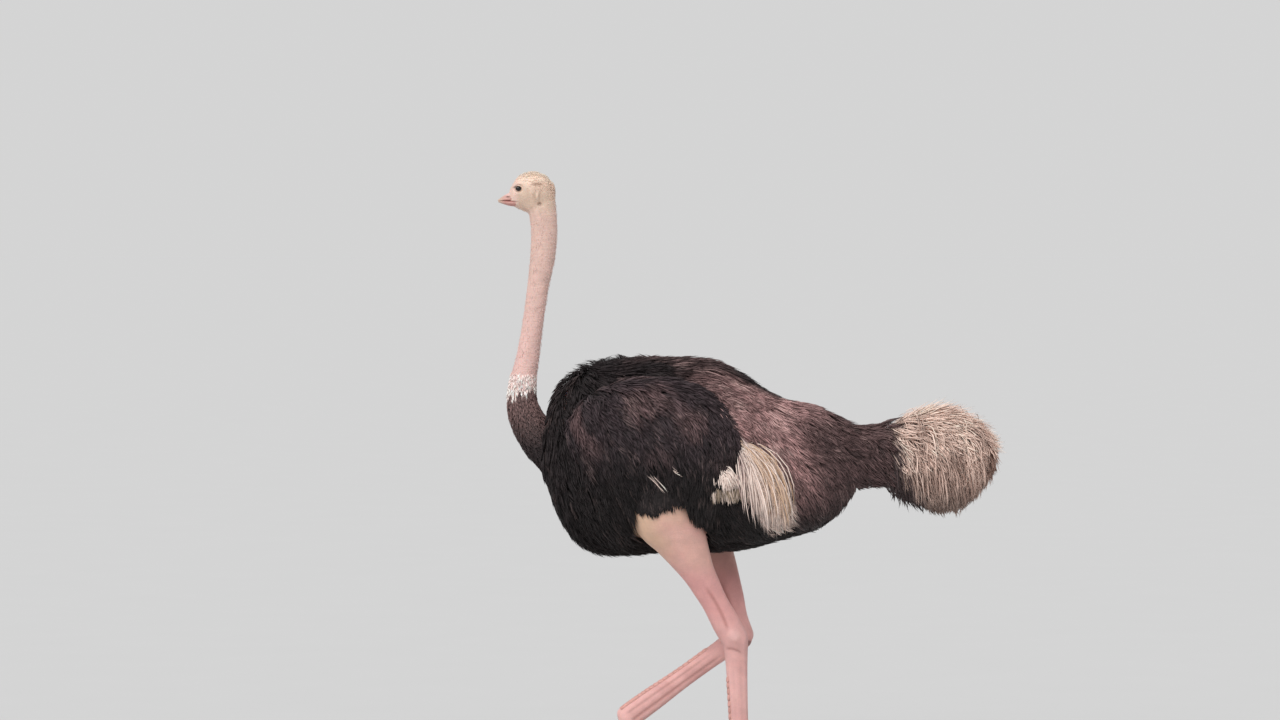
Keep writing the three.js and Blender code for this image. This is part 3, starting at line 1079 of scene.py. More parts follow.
@dataclass(frozen=True)
class EyeFinish:
    """A wet dark brown eye with a black pupil and a paler iris rim."""

    name: str = "wet_eye"

    def make(self) -> Material:
        """Builds the material.

        Returns:
            The eye material.
        """
        graph = NodeGraph(self.name)
        tint = graph.attribute("Tint").outputs["Color"]
        fibres = graph.noise(900, (1, 1, 1), 2)
        graph.tinted(tint, fibres, 0.75, 1.2)
        graph.settings(roughness=0.16, coat_weight=0.5, coat_roughness=0.04, specular_ior_level=0.3)
        return graph.material


@dataclass(frozen=True)
class BoardFinish:
    """Painted board: plain warm grey with a faint brushed grain and handling marks."""

    name: str = "painted_board"

    def make(self) -> Material:
        """Builds the material.

        Returns:
            The board material.
        """
        graph = NodeGraph(self.name)
        base = graph.node("ShaderNodeRGB")
        base.outputs[0].default_value = (*Hue.BOARD.linear, 1)
        graph.tinted(base.outputs[0], graph.noise(9, (0.4, 2.2, 1), 6), 0.9, 1.06)
        graph.bump(graph.noise(240, (0.15, 1.6, 1), 3), 0.0004)
        graph.settings(roughness=0.52)
        return graph.material


# ---------------------------------------------------------------- mesh helpers
def tint_points(mesh: Mesh, colours: Array) -> None:
    """Stores one linear colour for each vertex as the Tint attribute.

    Args:
        mesh: The mesh to change.
        colours: Linear colours, one for each vertex.
    """
    layer = mesh.attributes.new("Tint", "FLOAT_COLOR", "POINT")
    rgba = np.ones((len(mesh.vertices), 4), np.float32)
    rgba[:, :3] = np.clip(colours, 0, 1)
    layer.data.foreach_set("color", rgba.ravel())


def mask_points(mesh: Mesh, name: str, shares: Array) -> None:
    """Stores one share for each vertex under a name."""
    layer = mesh.attributes.new(name, "FLOAT", "POINT")
    layer.data.foreach_set("value", shares.astype(np.float32))


def points_of(mesh: Mesh) -> Array:
    """The places of a mesh's vertices.

    Args:
        mesh: The mesh to read.

    Returns:
        One place for each vertex.
    """
    flat = np.zeros(len(mesh.vertices) * 3, np.float32)
    mesh.vertices.foreach_get("co", flat)
    return flat.reshape(-1, 3).astype(float)


def move_points(mesh: Mesh, points: Array) -> None:
    """Moves a mesh's vertices."""
    mesh.vertices.foreach_set("co", points.astype(np.float32).ravel())
    mesh.update()


def rest_on_base(mesh: Mesh) -> Array:
    """Lifts what is below the base's top on to it.

    Args:
        mesh: The mesh to change.

    Returns:
        The places of its vertices.
    """
    points = points_of(mesh)
    points[:, 2] = np.maximum(points[:, 2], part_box("stand_base")[1].z + BASE_GAP)
    move_points(mesh, points)
    return points


def flat_sheet(bm: BMesh, columns: int, rows: int) -> tuple[list, Array]:
    """Adds a flat grid to a bmesh, to be bent over a form.

    Args:
        bm: The mesh to add to.
        columns: Steps across.
        rows: Steps up.

    Returns:
        The new vertices, and their places from -1 to 1 on the sheet.
    """
    sheet = bmesh.ops.create_grid(bm, x_segments=columns, y_segments=rows, size=1.0)
    return sheet["verts"], np.array([v.co[:] for v in sheet["verts"]])


def object_from(bm: BMesh, name: str) -> Object:
    """Turns a bmesh into a smooth object of the scene.

    Args:
        bm: The mesh; it is freed.
        name: The object's name.

    Returns:
        The new object.
    """
    bmesh.ops.recalc_face_normals(bm, faces=bm.faces)
    mesh = bpy.data.meshes.new(name)
    bm.to_mesh(mesh)
    bm.free()
    mesh.shade_smooth()
    made = bpy.data.objects.new(name, mesh)
    bpy.context.scene.collection.objects.link(made)
    return made


def settle(obj: Object) -> None:
    """Applies an object's modifiers to its mesh.

    Args:
        obj: The object to change.
    """
    graph = bpy.context.evaluated_depsgraph_get()
    mesh = bpy.data.meshes.new_from_object(obj.evaluated_get(graph))
    obj.modifiers.clear()
    old, obj.data = obj.data, mesh
    bpy.data.meshes.remove(old)
    mesh.name = obj.name
    mesh.shade_smooth()


def dress(obj: Object, material: Material, slot: str) -> None:
    """Gives an object its material and ties it to the frame.

    Args:
        obj: The piece.
        material: Its material.
        slot: The name of its material slot; not used.
    """
    obj.data.materials.clear()
    obj.data.materials.append(material)
    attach(obj, "root")


# ---------------------------------------------------------------- skin
@dataclass(frozen=True)
class Socket:
    """Where each eyeball sits and how far its lids open, for the right side."""

    place: tuple[float, float, float] = (-0.676, 0.0195, 2.179)
    radius: float = 0.0162
    lid_long: float = 0.0088
    lid_high: float = 0.0076
    tilt: float = 10.0
    lid_thick: float = 0.0016
    lid_rim: float = 0.0012
    sunk: float = 0.006
    around: float = 0.045

    def slit(self, along: Array, up: Array) -> Array:
        """How far places lie out from the middle of the slit: 1 at the lids' rims."""
        return np.hypot(along / self.lid_long, up / self.lid_high)


@dataclass
class Skin:
    """One seamless skin over the flesh, lying under the feathers by their depth."""

    anatomy: Anatomy
    markings: Markings
    voxel: float = 0.0056
    trunk_depth: tuple = ((0.0, 0.024), (0.74, 0.024), (0.8, 0.036), (0.9, 0.05), (1.0, 0.06))
    wing_depth: tuple = ((0.0, 0.022), (1.0, 0.022))
    neck_depth: tuple = ((0.0, 0.008), (0.38, 0.008), (0.45, 0.002), (1.0, 0.001))
    head_depth: tuple = ((0.0, 0.0006), (1.0, 0.0006))
    leg_depth: tuple = ((0.0, 0.0012), (1.0, 0.0012))
    socket: Socket = Socket()
    mouth_z: float = 2.1335
    head_low: float = 2.085
    nape_x: float = -0.5
    breast_x: float = -0.54
    thinning: float = 0.88
    # Where painted shade darkens the far heel behind the near leg.
    far_heel_shade: Oval = (0.131, 0.581, 0.012, 0.011)

    def build(self) -> Object:
        """Builds the skin and stands it in for the flesh nodes.

        Returns:
            The skin.
        """
        obj = self._shell()
        self._thin_hidden(obj)
        self._refine_head(obj)
        self._shape_head(obj.data)
        self._shape_legs(obj.data)
        rest_on_base(obj.data)
        self._mark(obj.data)
        dress(obj, SkinFinish().make(), "skin")
        names = ["head", "neck_upper", "neck_lower", "trunk", "tail", "wing_left", "wing_right"]
        for part in ("thigh", "drumstick", "shank", "toe_main", "toe_outer"):
            names += [f"{part}_left", f"{part}_right"]
        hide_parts(*names)
        return obj

    def _shell(self) -> Object:
        """Joins every flesh form into one closed skin.

        Returns:
            The skin before its details.
        """
        bm = bmesh.new()
        body = self.anatomy
        body.skull().add_to(bm, 30, 36, self.head_depth)
        body.neck().add_to(bm, 120, 30, self.neck_depth)
        body.trunk().add_to(bm, 120, 60, self.trunk_depth)
        for side in Side:
            body.wing(side).add_to(bm, 50, 40, self.wing_depth)
        for stride in body.strides:
            body.upper_leg(stride).add_to(bm, 60, 32, self.leg_depth)
            body.shank(stride).add_to(bm, 70, 32, self.leg_depth)
            body.main_toe_form(stride).add_to(bm, 36, 24, self.leg_depth)
            body.outer_toe_form(stride).add_to(bm, 24, 20, self.leg_depth)
        obj = object_from(bm, "skin")
        remesh = obj.modifiers.new("Join", "REMESH")
        remesh.mode = "VOXEL"
        remesh.voxel_size = self.voxel
        even = obj.modifiers.new("Even", "SMOOTH")
        even.factor = 0.5
        even.iterations = 4
        settle(obj)
        return obj

    def _thin_hidden(self, obj: Object) -> None:
        """Coarsens the skin that the plumage hides.

        Args:
            obj: The object to change.
        """
        points = points_of(obj.data)
        feathered = (points[:, 2] > 1.0) | (self._bare_leg(points) < 0.01)
        hidden = (points[:, 0] > self.breast_x) & feathered & (points[:, 2] > 0.9)
        group = obj.vertex_groups.new(name="hidden")
        group.add(np.flatnonzero(hidden).tolist(), 1.0, "REPLACE")
        thin = obj.modifiers.new("Thin", "DECIMATE")
        thin.vertex_group = "hidden"
        thin.vertex_group_factor = 1.0
        thin.ratio = float(1 - hidden.mean() * self.thinning)
        settle(obj)
        obj.vertex_groups.clear()

    def _refine_head(self, obj: Object) -> None:
        """Splits the head's faces finely enough for lids and ears.

        Args:
            obj: The object to change.
        """
        bm = bmesh.new()
        bm.from_mesh(obj.data)
        for low in (self.head_low, self.head_low + 0.015):
            edges = [e for e in bm.edges if min(v.co.z for v in e.verts) > low]
            edges = [e for e in edges if e.verts[0].co.x < self.nape_x]
            bmesh.ops.subdivide_edges(bm, edges=edges, cuts=1, use_grid_fill=True, smooth=0.0)
        bmesh.ops.triangulate(bm, faces=[f for f in bm.faces if len(f.verts) > 4])
        head = [v for v in bm.verts if v.co.z > 2.08 and v.co.x < self.nape_x]
        axes = {f"use_axis_{axis}": True for axis in "xyz"}
        for _ in range(3):
            bmesh.ops.smooth_vert(bm, verts=head, factor=0.5, **axes)
        bm.to_mesh(obj.data)
        bm.free()
        obj.data.shade_smooth()

    def _shape_head(self, mesh: Mesh) -> None:
        """Shapes lids, brows, ears, nape and the corners of the mouth.

        Args:
            mesh: The mesh to change.
        """
        points = points_of(mesh)
        face = points[:, 2] > 2.09
        for side in Side:
            near = face & (points[:, 1] * side.value > 0.004) & (points[:, 0] < -0.55)
            spots = self._lids(points[near], side.value)
            spots = self._ear(spots, side.value)
            points[near] = self._gape(spots, side.value)
        move_points(mesh, points)

    def _lids(self, spots: Array, sign: int) -> Array:
        """Wraps the skin over the eyeball with an open slit between two lids.

        Args:
            spots: Places on one side of the head.
            sign: The side's sign along Y.

        Returns:
            The moved places.
        """
        eye = self.socket
        ex, ey, ez = eye.place
        dx, dz = spots[:, 0] - ex, spots[:, 2] - ez
        tilt = math.radians(eye.tilt)
        up = dz * math.cos(tilt) - dx * math.sin(tilt)
        slit = eye.slit(dx * math.cos(tilt) + dz * math.sin(tilt), up)
        away = np.hypot(dx, dz)
        ball = ey + np.sqrt(eye.radius**2 - np.minimum(away, eye.radius * 0.97) ** 2)
        lid = ball + eye.lid_thick + eye.lid_rim * hump(slit, 1.22, 0.16)
        out = np.abs(spots[:, 1])
        close = 1 - smooth(slit, 1.35, 2.3)
        wrapped = out * (1 - close) + np.maximum(lid, out - 0.006) * close
        crease = 0.0012 * hump(slit, 1.75, 0.13) * (up > 0)
        brow = 0.0034 * hump(dx, 0.003, 0.018) * hump(dz, 0.0195, 0.006)
        wrapped = wrapped - crease + brow
        wrapped = np.where(away < eye.radius, np.maximum(wrapped, ball + 0.0011), wrapped)
        inside = fade(slit, 0.92, 1.06)
        moved = wrapped * (1 - inside) + (ball - eye.sunk) * inside
        spots[:, 1] = np.where(away < eye.around, moved * sign, spots[:, 1])
        return spots

    def _ear(self, spots: Array, sign: int) -> Array:
        """Raises the pale fold before the ear and sinks the opening under it.

        Args:
            spots: Places on one side of the head.
            sign: The side's sign along Y.

        Returns:
            The moved places.
        """
        behind, up = self.markings.behind_ear(spots), spots[:, 2] - self.markings.ear_z
        fold = 0.0026 * hump(behind, 0, 0.0042) * hump(up, 0, 0.014)
        beside = 0.0018 * hump(np.abs(behind), 0.0105, 0.0035) * hump(up, 0, 0.018)
        pit = 0.0035 * hump(behind, 0.005, 0.0055) * hump(up, -0.0285, 0.006)
        spots[:, 1] += sign * (fold - beside - pit)
        return spots

    def _gape(self, spots: Array, sign: int) -> Array:
        """Draws the mouth line back from the bill, with a soft cheek above and below.

        Args:
            spots: Places on one side of the head.
            sign: The side's sign along Y.

        Returns:
            The moved places.
        """
        above = spots[:, 2] - (self.mouth_z - 0.1 * (spots[:, 0] + 0.7))
        run = fade(spots[:, 0], -0.69, -0.668)
        groove = 0.0026 * hump(above, 0, 0.0022) * run
        lip = 0.0012 * hump(above, 0.005, 0.003) * run
        spots[:, 1] += sign * (lip - groove)
        return spots

    def _leg_marks(self, points: Array) -> tuple[Array, Array, Array]:
        """Finds the tendon grooves, the knob and the crease about both ankles.

        Args:
            points: Places on the skin.

        Returns:
            Share of groove, of knob and of crease at each place.
        """
        x, _, z = points.T
        groove, knob, crease = (np.zeros(len(points)) for _ in range(3))
        for stride in self.anatomy.strides:
            (ax, az), (sx, sz) = stride.ankle, stride.shin
            own = points[:, 1] * stride.side.value > 0.0
            run = unit(np.array([sx - ax, sz - az]))
            dx, dz = x - ax * MM, z - az * MM
            up, front = dx * run[0] + dz * run[1], -(dx * run[1] - dz * run[0])
            cut = hump(front, 0.9 * (up - 0.13) ** 2 - 0.02 * up - 0.001, 0.006)
            groove = np.maximum(groove, own * cut * smooth(up, 0.04, 0.07) * fade(up, 0.17, 0.25))
            ball = oval_reach(dx, dz, (-0.005, 0.022, 0.026, 0.024))
            knob = np.maximum(knob, own * fade(ball, 0.5, 1.15))
            bent = dz + 0.028 + 0.3 * dx + 9 * (dx + 0.004) ** 2
            short = fade(np.abs(dx + 0.006), 0.016, 0.034)
            crease = np.maximum(crease, own * hump(bent, 0, 0.0045) * short)
        return groove, knob, crease

    def _shape_legs(self, mesh: Mesh) -> None:
        """Raises the ankle knobs and sinks the tendon grooves and creases.

        Args:
            mesh: The mesh to change.
        """
        points = points_of(mesh)
        legs = points[:, 2] < 0.86
        spots = points[legs]
        groove, knob, crease = self._leg_marks(spots)
        out = 0.004 * knob - 0.0034 * groove - 0.0026 * crease
        middle = np.where(spots[:, 1] < 0, -1, 1) * self.anatomy.ankle_spread * MM
        spots[:, 1] += np.sign(spots[:, 1] - middle) * out
        points[legs] = spots
        move_points(mesh, points)

    def _mark(self, mesh: Mesh) -> None:
        """Paints the markings and says where the skin is scaly or creased.

        Args:
            mesh: The mesh to change.
        """
        points = points_of(mesh)
        x, _, z = points.T
        bare = self._bare_leg(points)
        tint = blend(self.markings.skin(points), self._leg_tint(points), bare)
        near = (z > 2.12) & (x < -0.64)
        tint[near] = self._paint_eye(points[near], tint[near])
        tint_points(mesh, tint)
        scaly = fade(z, 0.52, 0.66) * bare
        mask_points(mesh, "Scaly", np.clip(scaly + 0.18 * bare, 0, 1))
        creased = smooth(z, 1.5, 1.56) * (x < self.nape_x) * fade(z, 2.08, 2.14)
        mask_points(mesh, "Creased", creased + bare * (0.2 + 0.5 * smooth(z, 0.7, 0.9)))

    def _leg_tint(self, points: Array) -> Array:
        """Leg colours with beige thigh fronts, painted shade in the grooves and creases, over the far
        leg's upper part and on the far heel, and painted highlights on the ridges and ankle knobs.

        Args:
            points: Places on the skin.

        Returns:
            One linear colour for each place.
        """
        tint = self.markings.legs(points)
        x, y, z = points.T
        for stride in self.anatomy.strides:
            own = y * stride.side.value > 0
            turn = self.anatomy.upper_leg(stride).locate(points)[1]
            front = smooth(np.cos(turn), 0.05, 0.85) * smooth(z, 0.86, 0.98) * own
            top = smooth(z, 0.99, 1.05) * own
            tint = blend(tint, Hue.THIGH, np.clip(front + 0.5 * top, 0, 1) * 0.85)
            share, turn, _ = self.anatomy.shank(stride).locate(points)
            on = own * fade(z, 0.5, 0.56) * smooth(share, 0.08, 0.2) * fade(share, 0.85, 0.97)
            on, away = on * (1.0 if stride.drop else 0.2), np.abs(turn)
            # Painted shade in the two long grooves down the shanks.
            lines = hump(away, 1.95, 0.14) + 0.8 * hump(away, 1.2, 0.13)
            tint = blend(tint, Hue.GROOVE, 0.55 * on * np.clip(lines, 0, 1))
            # Painted highlight along the ridges between the grooves.
            ridge = hump(away, 1.58, 0.13) + fade(away, 0.2, 0.55)
            tint = blend(tint, Hue.ANKLE.linear * 1.06, 0.4 * on * np.clip(ridge, 0, 1))
            # Painted shade over the upper part of the far leg.
            shade = smooth(z, 0.68, 0.84) * own * bool(stride.drop)
            tint = blend(tint, Hue.GROOVE.linear * 0.75, 0.4 * shade)
        groove, knob, crease = self._leg_marks(points)
        # Painted shade on the far heel, behind the near leg.
        heel = fade(oval_reach(x, z, self.far_heel_shade), 0.5, 1.2)
        tint = blend(tint, Hue.GROOVE.linear * 0.5, 0.7 * heel * (y > 0))
        # Painted shade in the tendon grooves.
        tint = blend(tint, Hue.GROOVE, 0.5 * groove)
        # Painted highlight on the ankle knobs.
        tint = blend(tint, Hue.RING, 0.14 * knob)
        # Painted shade in the creases under the ankle knobs.
        return blend(tint, Hue.GROOVE, 0.5 * crease)

    def _bare_leg(self, points: Array) -> Array:
        """How surely each place is on a bare leg and not on the feathered body.

        Args:
            points: Places on the skin.

        Returns:
            Shares from 0, feathered, to 1, bare.
        """
        x, y, z = points.T
        share = np.zeros(len(points))
        for stride in self.anatomy.strides:
            reach = self.anatomy.upper_leg(stride).locate(points)[2]
            on = fade(reach, 1.04, 1.16) * (y * stride.side.value > 0.06)
            hem = self.anatomy.fringe(stride, x) + 0.012
            share = np.maximum(share, on * smooth(hem - z, -0.012, 0.008))
        return np.maximum(share, fade(z, 0.85, 0.87))

    def _paint_eye(self, spots: Array, tint: Array) -> Array:
        """Darkens the lid rims and the lash line in front of and over the eye.

        Args:
            spots: Places on the face.
            tint: Colours at those places.

        Returns:
            The darkened colours.
        """
        ex, _, ez = self.socket.place
        dx, dz = spots[:, 0] - ex, spots[:, 2] - ez
        rim = self.socket.slit(dx, dz)
        tint = blend(tint, Hue.EAR_BROWN.linear * 0.8, 0.4 * fade(rim, 1.15, 1.6))
        tint = blend(tint, Hue.LASH, 0.7 * fade(rim, 1.0, 1.3))
        lash = hump(dx, -0.013, 0.007) * hump(dz, 0.0065 + 0.3 * (dx + 0.013), 0.003)
        tint = blend(tint, Hue.LASH, 0.6 * np.clip(lash * 1.3, 0, 1))
        gape = hump(spots[:, 2], self.mouth_z, 0.004) * fade(spots[:, 0], -0.695, -0.68)
        return blend(tint, Hue.GAPE, 0.5 * gape)


# ---------------------------------------------------------------- coat
class Lie(Enum):
    """The way feathers lie on one region of the bird."""

    BODY = "back and down over the trunk, straight down on the breast"
    WING = "down in arcs, straight down along the lower edge"
    TAIL = "over the top and then hanging"
    RUN = "with the run of the form"
    AGAINST = "against the run of the form"

    def way(self, spots: Array, along: Array, outward: Array) -> Array:
        """Finds the way that feathers point at each place.

        Args:
            spots: Places on the body.
            along: Unit ways along the form.
            outward: Unit ways outward.

        Returns:
            Unit ways in the surface.
        """
        if self is Lie.RUN:
            return along
        if self is Lie.AGAINST:
            return -along
        fall = np.radians(self._fall(spots))
        wish = np.stack([np.cos(fall), 0.12 * np.sign(spots[:, 1]), -np.sin(fall)], 1)
        flat = wish - outward * np.sum(wish * outward, 1, keepdims=True)
        return unit(flat + 0.05 * along)

    def _fall(self, spots: Array) -> Array:
        """Degrees below level that feathers point, seen from the side.

        Args:
            spots: Places on the body.

        Returns:
            One angle for each place.
        """
        x, z = spots[:, 0], spots[:, 2]
        sway = 9 * ripple(spots, 0.16, 77)
        if self is Lie.WING:
            fall = np.interp(z, [1.03, 1.15, 1.3, 1.42, 1.52], [88, 84, 68, 52, 34])
            front = fade(x, -0.5, -0.12)
            return fall * (1 - front) + 66 * front + sway
        if self is Lie.TAIL:
            fall = np.interp(z, [1.08, 1.22, 1.33, 1.42], [90, 85, 66, 20])
            return fall + 14 * smooth(x, 0.86, 0.96) + 0.6 * sway
        fall = np.interp(z, [0.9, 0.98, 1.15, 1.3, 1.45, 1.58], [30, 60, 64, 48, 30, 10])
        front = fade(x, -0.54, -0.22)
        return fall * (1 - front) + 78 * front + sway


@dataclass
class CoatPatch:
    """Feather plumes over one stretch of a body form.

    Each plume is a bunch of locks that share a root, a way and a tone. They grow from
    the skin at the root depth and reach the form's surface at their tips.
    """

    name: str
    form: Form
    span: tuple[float, float]
    arc: tuple[float, float]
    lie: Lie
    cell: float
    locks: int
    length: tuple[float, float]
    width: float
    depth: float = 0.024
    lift: float = 0.004
    hang: float = 0.35
    clump: float = 0.45
    fan: float = 10.0
    wave: float = 0.04
    rings: int = 3
    seed: int = 1


@dataclass(frozen=True)
class Spray:
    """A fan of plumes that spring from one place behind a wing and hang."""

    root: tuple[float, float]
    loose: tuple[float, float]
    slopes: tuple[float, float]
    reach: tuple[float, float, float]
    pull: float
    count: int
    locks: int
    skip: float
    out: float
    tuck: float
    plate: float
    seed: int
    width: float = 0.0046
    bow: float = 0.5
    cell: float = 0.012
    splay: float = 0.05
    wave: float = 0.03


@dataclass
class Strands:
    """The middle lines of locks, with their widths, tones, plumes' luck and bake places."""

    spine: Array
    outward: Array
    width: Array
    tone: Array
    luck: Array
    plate: Array

    @property
    def middle(self) -> Array:
        """Where the visible half of each lock lies."""
        return self.spine[:, self.spine.shape[1] // 2 + 1]

    def kept(self, keep: Array) -> "Strands":
        """The locks that a test keeps."""
        return Strands(*(getattr(self, name)[keep] for name in self.__dataclass_fields__))

    def joined(self, other: "Strands") -> "Strands":
        """These locks and another patch's together."""
        names = self.__dataclass_fields__
        return Strands(*(np.concatenate([getattr(self, n), getattr(other, n)]) for n in names))


class Coat:
    """Grows feather locks that follow a body form, as joined closed spindles."""

    PATCH = 0.003
    STEPS = 8
    LENGTHS = (0.62, 1.0)
    WIDTHS = (0.55, 1.3)
    WAVES = (0.3, 1.4)
    PLUME_TONE = 0.16
    LOCK_TONE = 0.12
    CURL = 4.2
    GOLDEN = 0.618034

    def strands(self, patch: CoatPatch) -> Strands:
        """Lays a patch's locks along the body.

        Args:
            patch: The stretch to cover.

        Returns:
            The middle line and size of every lock.
        """
        rng = np.random.default_rng(patch.seed)
        share, turn = self._scatter(patch, rng)
        count, each = len(share), patch.locks
        total = count * each
        s0, s1 = patch.span
        grade = np.interp(share, [s0, s1], patch.length) * rng.uniform(0.8, 1.12, count)
        swing = np.radians(rng.normal(0, patch.fan, count))
        trail = self._trail(patch, share, turn, grade, swing)
        _, along_step, round_step, outward = patch.form.tangents(share, turn)
        loose = rng.uniform(-0.62, 0.62, (total, 2)) * patch.cell
        size = np.stack([np.linalg.norm(along_step, axis=1), np.linalg.norm(round_step, axis=1)], 1)
        offset = loose / np.maximum(np.repeat(size, each, 0), 0.02)
        relative = rng.uniform(*self.LENGTHS, total)
        plume = np.repeat(np.arange(count), each)
        fractions = self._fractions(patch.rings)
        lift = patch.lift * (np.repeat(rng.uniform(-2.0, 1.2, count), each) + rng.normal(0, 0.5, total))
        points = []
        for f in fractions:
            spot = self._sample(trail, plume, f * relative) + offset * (1 - patch.clump * f)
            rise = 1 - (1 - f) ** 1.7
            inset = patch.depth * (1 - rise) - lift * f * f
            points.append(patch.form.place(spot[:, 0], spot[:, 1], inset))
        spine = np.stack(points, 1)
        normal = outward[plume]
        spine = self._loosen(spine, normal, fractions, patch, rng)
        tone = self._tones(rng, count, each)
        luck = np.repeat(rng.uniform(0, 1, count), each)
        a0, a1 = np.radians(patch.arc)
        plate = np.stack([(share - s0) / (s1 - s0), (turn - a0) / (a1 - a0)], 1)[plume]
        width = patch.width * rng.uniform(*self.WIDTHS, total)
        return Strands(spine, normal, width, tone, luck, np.clip(plate, 0, 1))

    def spring(self, patch: CoatPatch, lean: tuple, out: float, pull: float, low: float) -> Strands:
        """Lays locks that spring from the body, arch over and hang.

        Args:
            patch: The stretch they root in.
            lean: The way that all of them lean as they leave.
            out: How much they leave straight outward.
            pull: How far down their tips are bent, as a share of their length.
            low: Height that the tips stay above.

        Returns:
            The middle line and size of every lock.
        """
        rng = np.random.default_rng(patch.seed)
        share, turn = self._scatter(patch, rng)
        outward = patch.form.tangents(share, turn)[3]
        way = np.asarray(lean) + out * outward + rng.normal(0, math.radians(patch.fan), outward.shape)
        reach = np.interp(share, patch.span, patch.length) * rng.uniform(0.75, 1.1, len(share))
        root = patch.form.place(share, turn, patch.depth)
        way = unit(way)
        drop = np.maximum(pull - 0.55 * way[:, 2], 0.3)
        limit = np.maximum(root[:, 2] - low, 0.03) / drop
        reach = np.minimum(reach, limit * rng.uniform(0.72, 1.12, len(reach)))
        a0, a1 = np.radians(patch.arc)
        plate = np.stack([(share - patch.span[0]) / np.ptp(patch.span), (turn - a0) / (a1 - a0)], 1)
        return self.arched(patch, root, way, reach, pull, plate, rng, 0.55, 0.06)

    def arched(
        self, patch: CoatPatch, root: Array, way: Array, reach: Array, pull: float,
        plate: Array, rng: np.random.Generator, bow: float = 0.45, splay: float = 0.1,
        skip: Array | float = 0.0,
    ) -> Strands:
        """Makes a bunch of arching locks at each root.

        Args:
            patch: Sizes of the locks.
            root: Where each bunch grows.
            way: The unit way it leaves.
            reach: Its length.
            pull: How far down the tips are bent, as a share of the length.
            plate: Its place on the bake map.
            rng: Seeded numbers.
            bow: How much of the outward run is lost by the tip.
            splay: How unevenly the locks of a bunch point.
            skip: Share of the arch that each bunch leaves out at its root.

        Returns:
            The locks.
        """
        each = patch.locks
        begin = np.repeat(np.broadcast_to(skip, len(root)), each)
        total = len(root) * each
        start = np.repeat(root, each, 0) + rng.uniform(-0.55, 0.55, (total, 3)) * patch.cell
        lead = unit(np.repeat(way, each, 0) + rng.normal(0, splay, (total, 3)))
        run = np.repeat(reach, each) * rng.uniform(*self.LENGTHS, total)
        side = unit(np.cross(lead, [0.0, 0.0, 1.0]) + 1e-6)
        phase = rng.uniform(0, 6.28, total)
        size = patch.wave * rng.uniform(*self.WAVES, total)
        points = []
        for share in self._fractions(patch.rings):
            f = (begin + (1 - begin) * share)[:, None]
            arch = lead * (f - bow * f * f) - np.array([0, 0, pull]) * f * f
            swing = np.sin(self.CURL * f + phase[:, None]) - np.sin(phase)[:, None]
            points.append(start + (arch + side * size[:, None] * swing) * run[:, None])
        tone = self._tones(rng, len(root), each)
        return Strands(
            spine=np.stack(points, 1),
            outward=unit(np.cross(side, lead)),
            width=patch.width * rng.uniform(*self.WIDTHS, total),
            tone=tone,
            luck=np.repeat(rng.uniform(0, 1, len(root)), each),
            plate=np.clip(np.repeat(plate, each, 0), 0, 1),
        )

    def _tones(self, rng: np.random.Generator, plumes: int, each: int) -> Array:
        """How much lighter or darker each lock is: a share of its plume's and its own.

        Args:
            rng: Seeded numbers.
            plumes: How many plumes there are.
            each: How many locks each has.

        Returns:
            One number about 0 for each lock.
        """
        shared = np.repeat(rng.normal(0, self.PLUME_TONE, plumes), each)
        return shared + rng.normal(0, self.LOCK_TONE, plumes * each)

    def _scatter(self, patch: CoatPatch, rng: np.random.Generator) -> tuple[Array, Array]:
        """Spreads plume roots evenly over a patch's area.

        Args:
            patch: The stretch to cover.
            rng: Seeded numbers.

        Returns:
            Shares and turns of the roots.
        """
        s0, s1 = patch.span
        a0, a1 = np.radians(patch.arc)
        rows, columns = np.linspace(s0, s1, 60), np.linspace(a0, a1, 40)
        grid_s, grid_t = (g.ravel() for g in np.meshgrid(rows, columns, indexing="ij"))
        _, ds, dt, _ = patch.form.tangents(grid_s, grid_t)
        area = np.linalg.norm(np.cross(ds, dt), axis=1).reshape(60, 40)
        total = area.mean() * (s1 - s0) * (a1 - a0)
        count = max(int(total / patch.cell**2), 8)
        climb_s = np.cumsum(area.sum(1))
        climb_t = np.cumsum(area.sum(0))
        spot = (np.arange(count) + rng.uniform(0.1, 0.9, count)) / count
        swirl = (np.arange(count) * self.GOLDEN + rng.normal(0, 0.004, count)) % 1
        share = np.interp(spot, climb_s / climb_s[-1], rows)
        turn = np.interp(swirl, climb_t / climb_t[-1], columns)
        return share, turn

    def _trail(self, patch: CoatPatch, share: Array, turn: Array, reach: Array, swing: Array) -> Array:
        """Walks from each plume's root over the surface, the way its feathers lie.

        Args:
            patch: The stretch it grows on.
            share: Shares of the roots.
            turn: Turns of the roots.
            reach: How far each walks, in metres.
            swing: How far each turns from the common way, in radians.

        Returns:
            Shares and turns at every step of every plume.
        """
        spot = np.stack([share, turn], 1)
        path = [spot.copy()]
        for _ in range(self.STEPS):
            here, ds, dt, outward = patch.form.tangents(spot[:, 0], spot[:, 1])
            way = patch.lie.way(here, unit(ds), outward)
            cross = np.cross(outward, way)
            bend = swing + np.radians(10) * ripple(here, 0.07, patch.seed + 5)
            way = way * np.cos(bend)[:, None] + cross * np.sin(bend)[:, None]
            move = way * (reach / self.STEPS)[:, None]
            a, b, c = (np.sum(u * v, 1) for u, v in ((ds, ds), (ds, dt), (dt, dt)))
            e, f = np.sum(ds * move, 1), np.sum(dt * move, 1)
            det = np.maximum(a * c - b * b, 1e-9)
            step = np.stack([(e * c - f * b) / det, (f * a - e * b) / det], 1)
            spot = spot + np.clip(step, -0.2, 0.2)
            spot[:, 0] = np.clip(spot[:, 0], 0.004, 0.996)
            path.append(spot.copy())
        return np.stack(path, 1)

    @staticmethod
    def _fractions(rings: int) -> Array:
        """Shares of a lock's length at its root, its rings and its tip."""
        return np.concatenate([[0.0], (np.arange(rings) + 0.8) / (rings + 0.55), [1.0]])

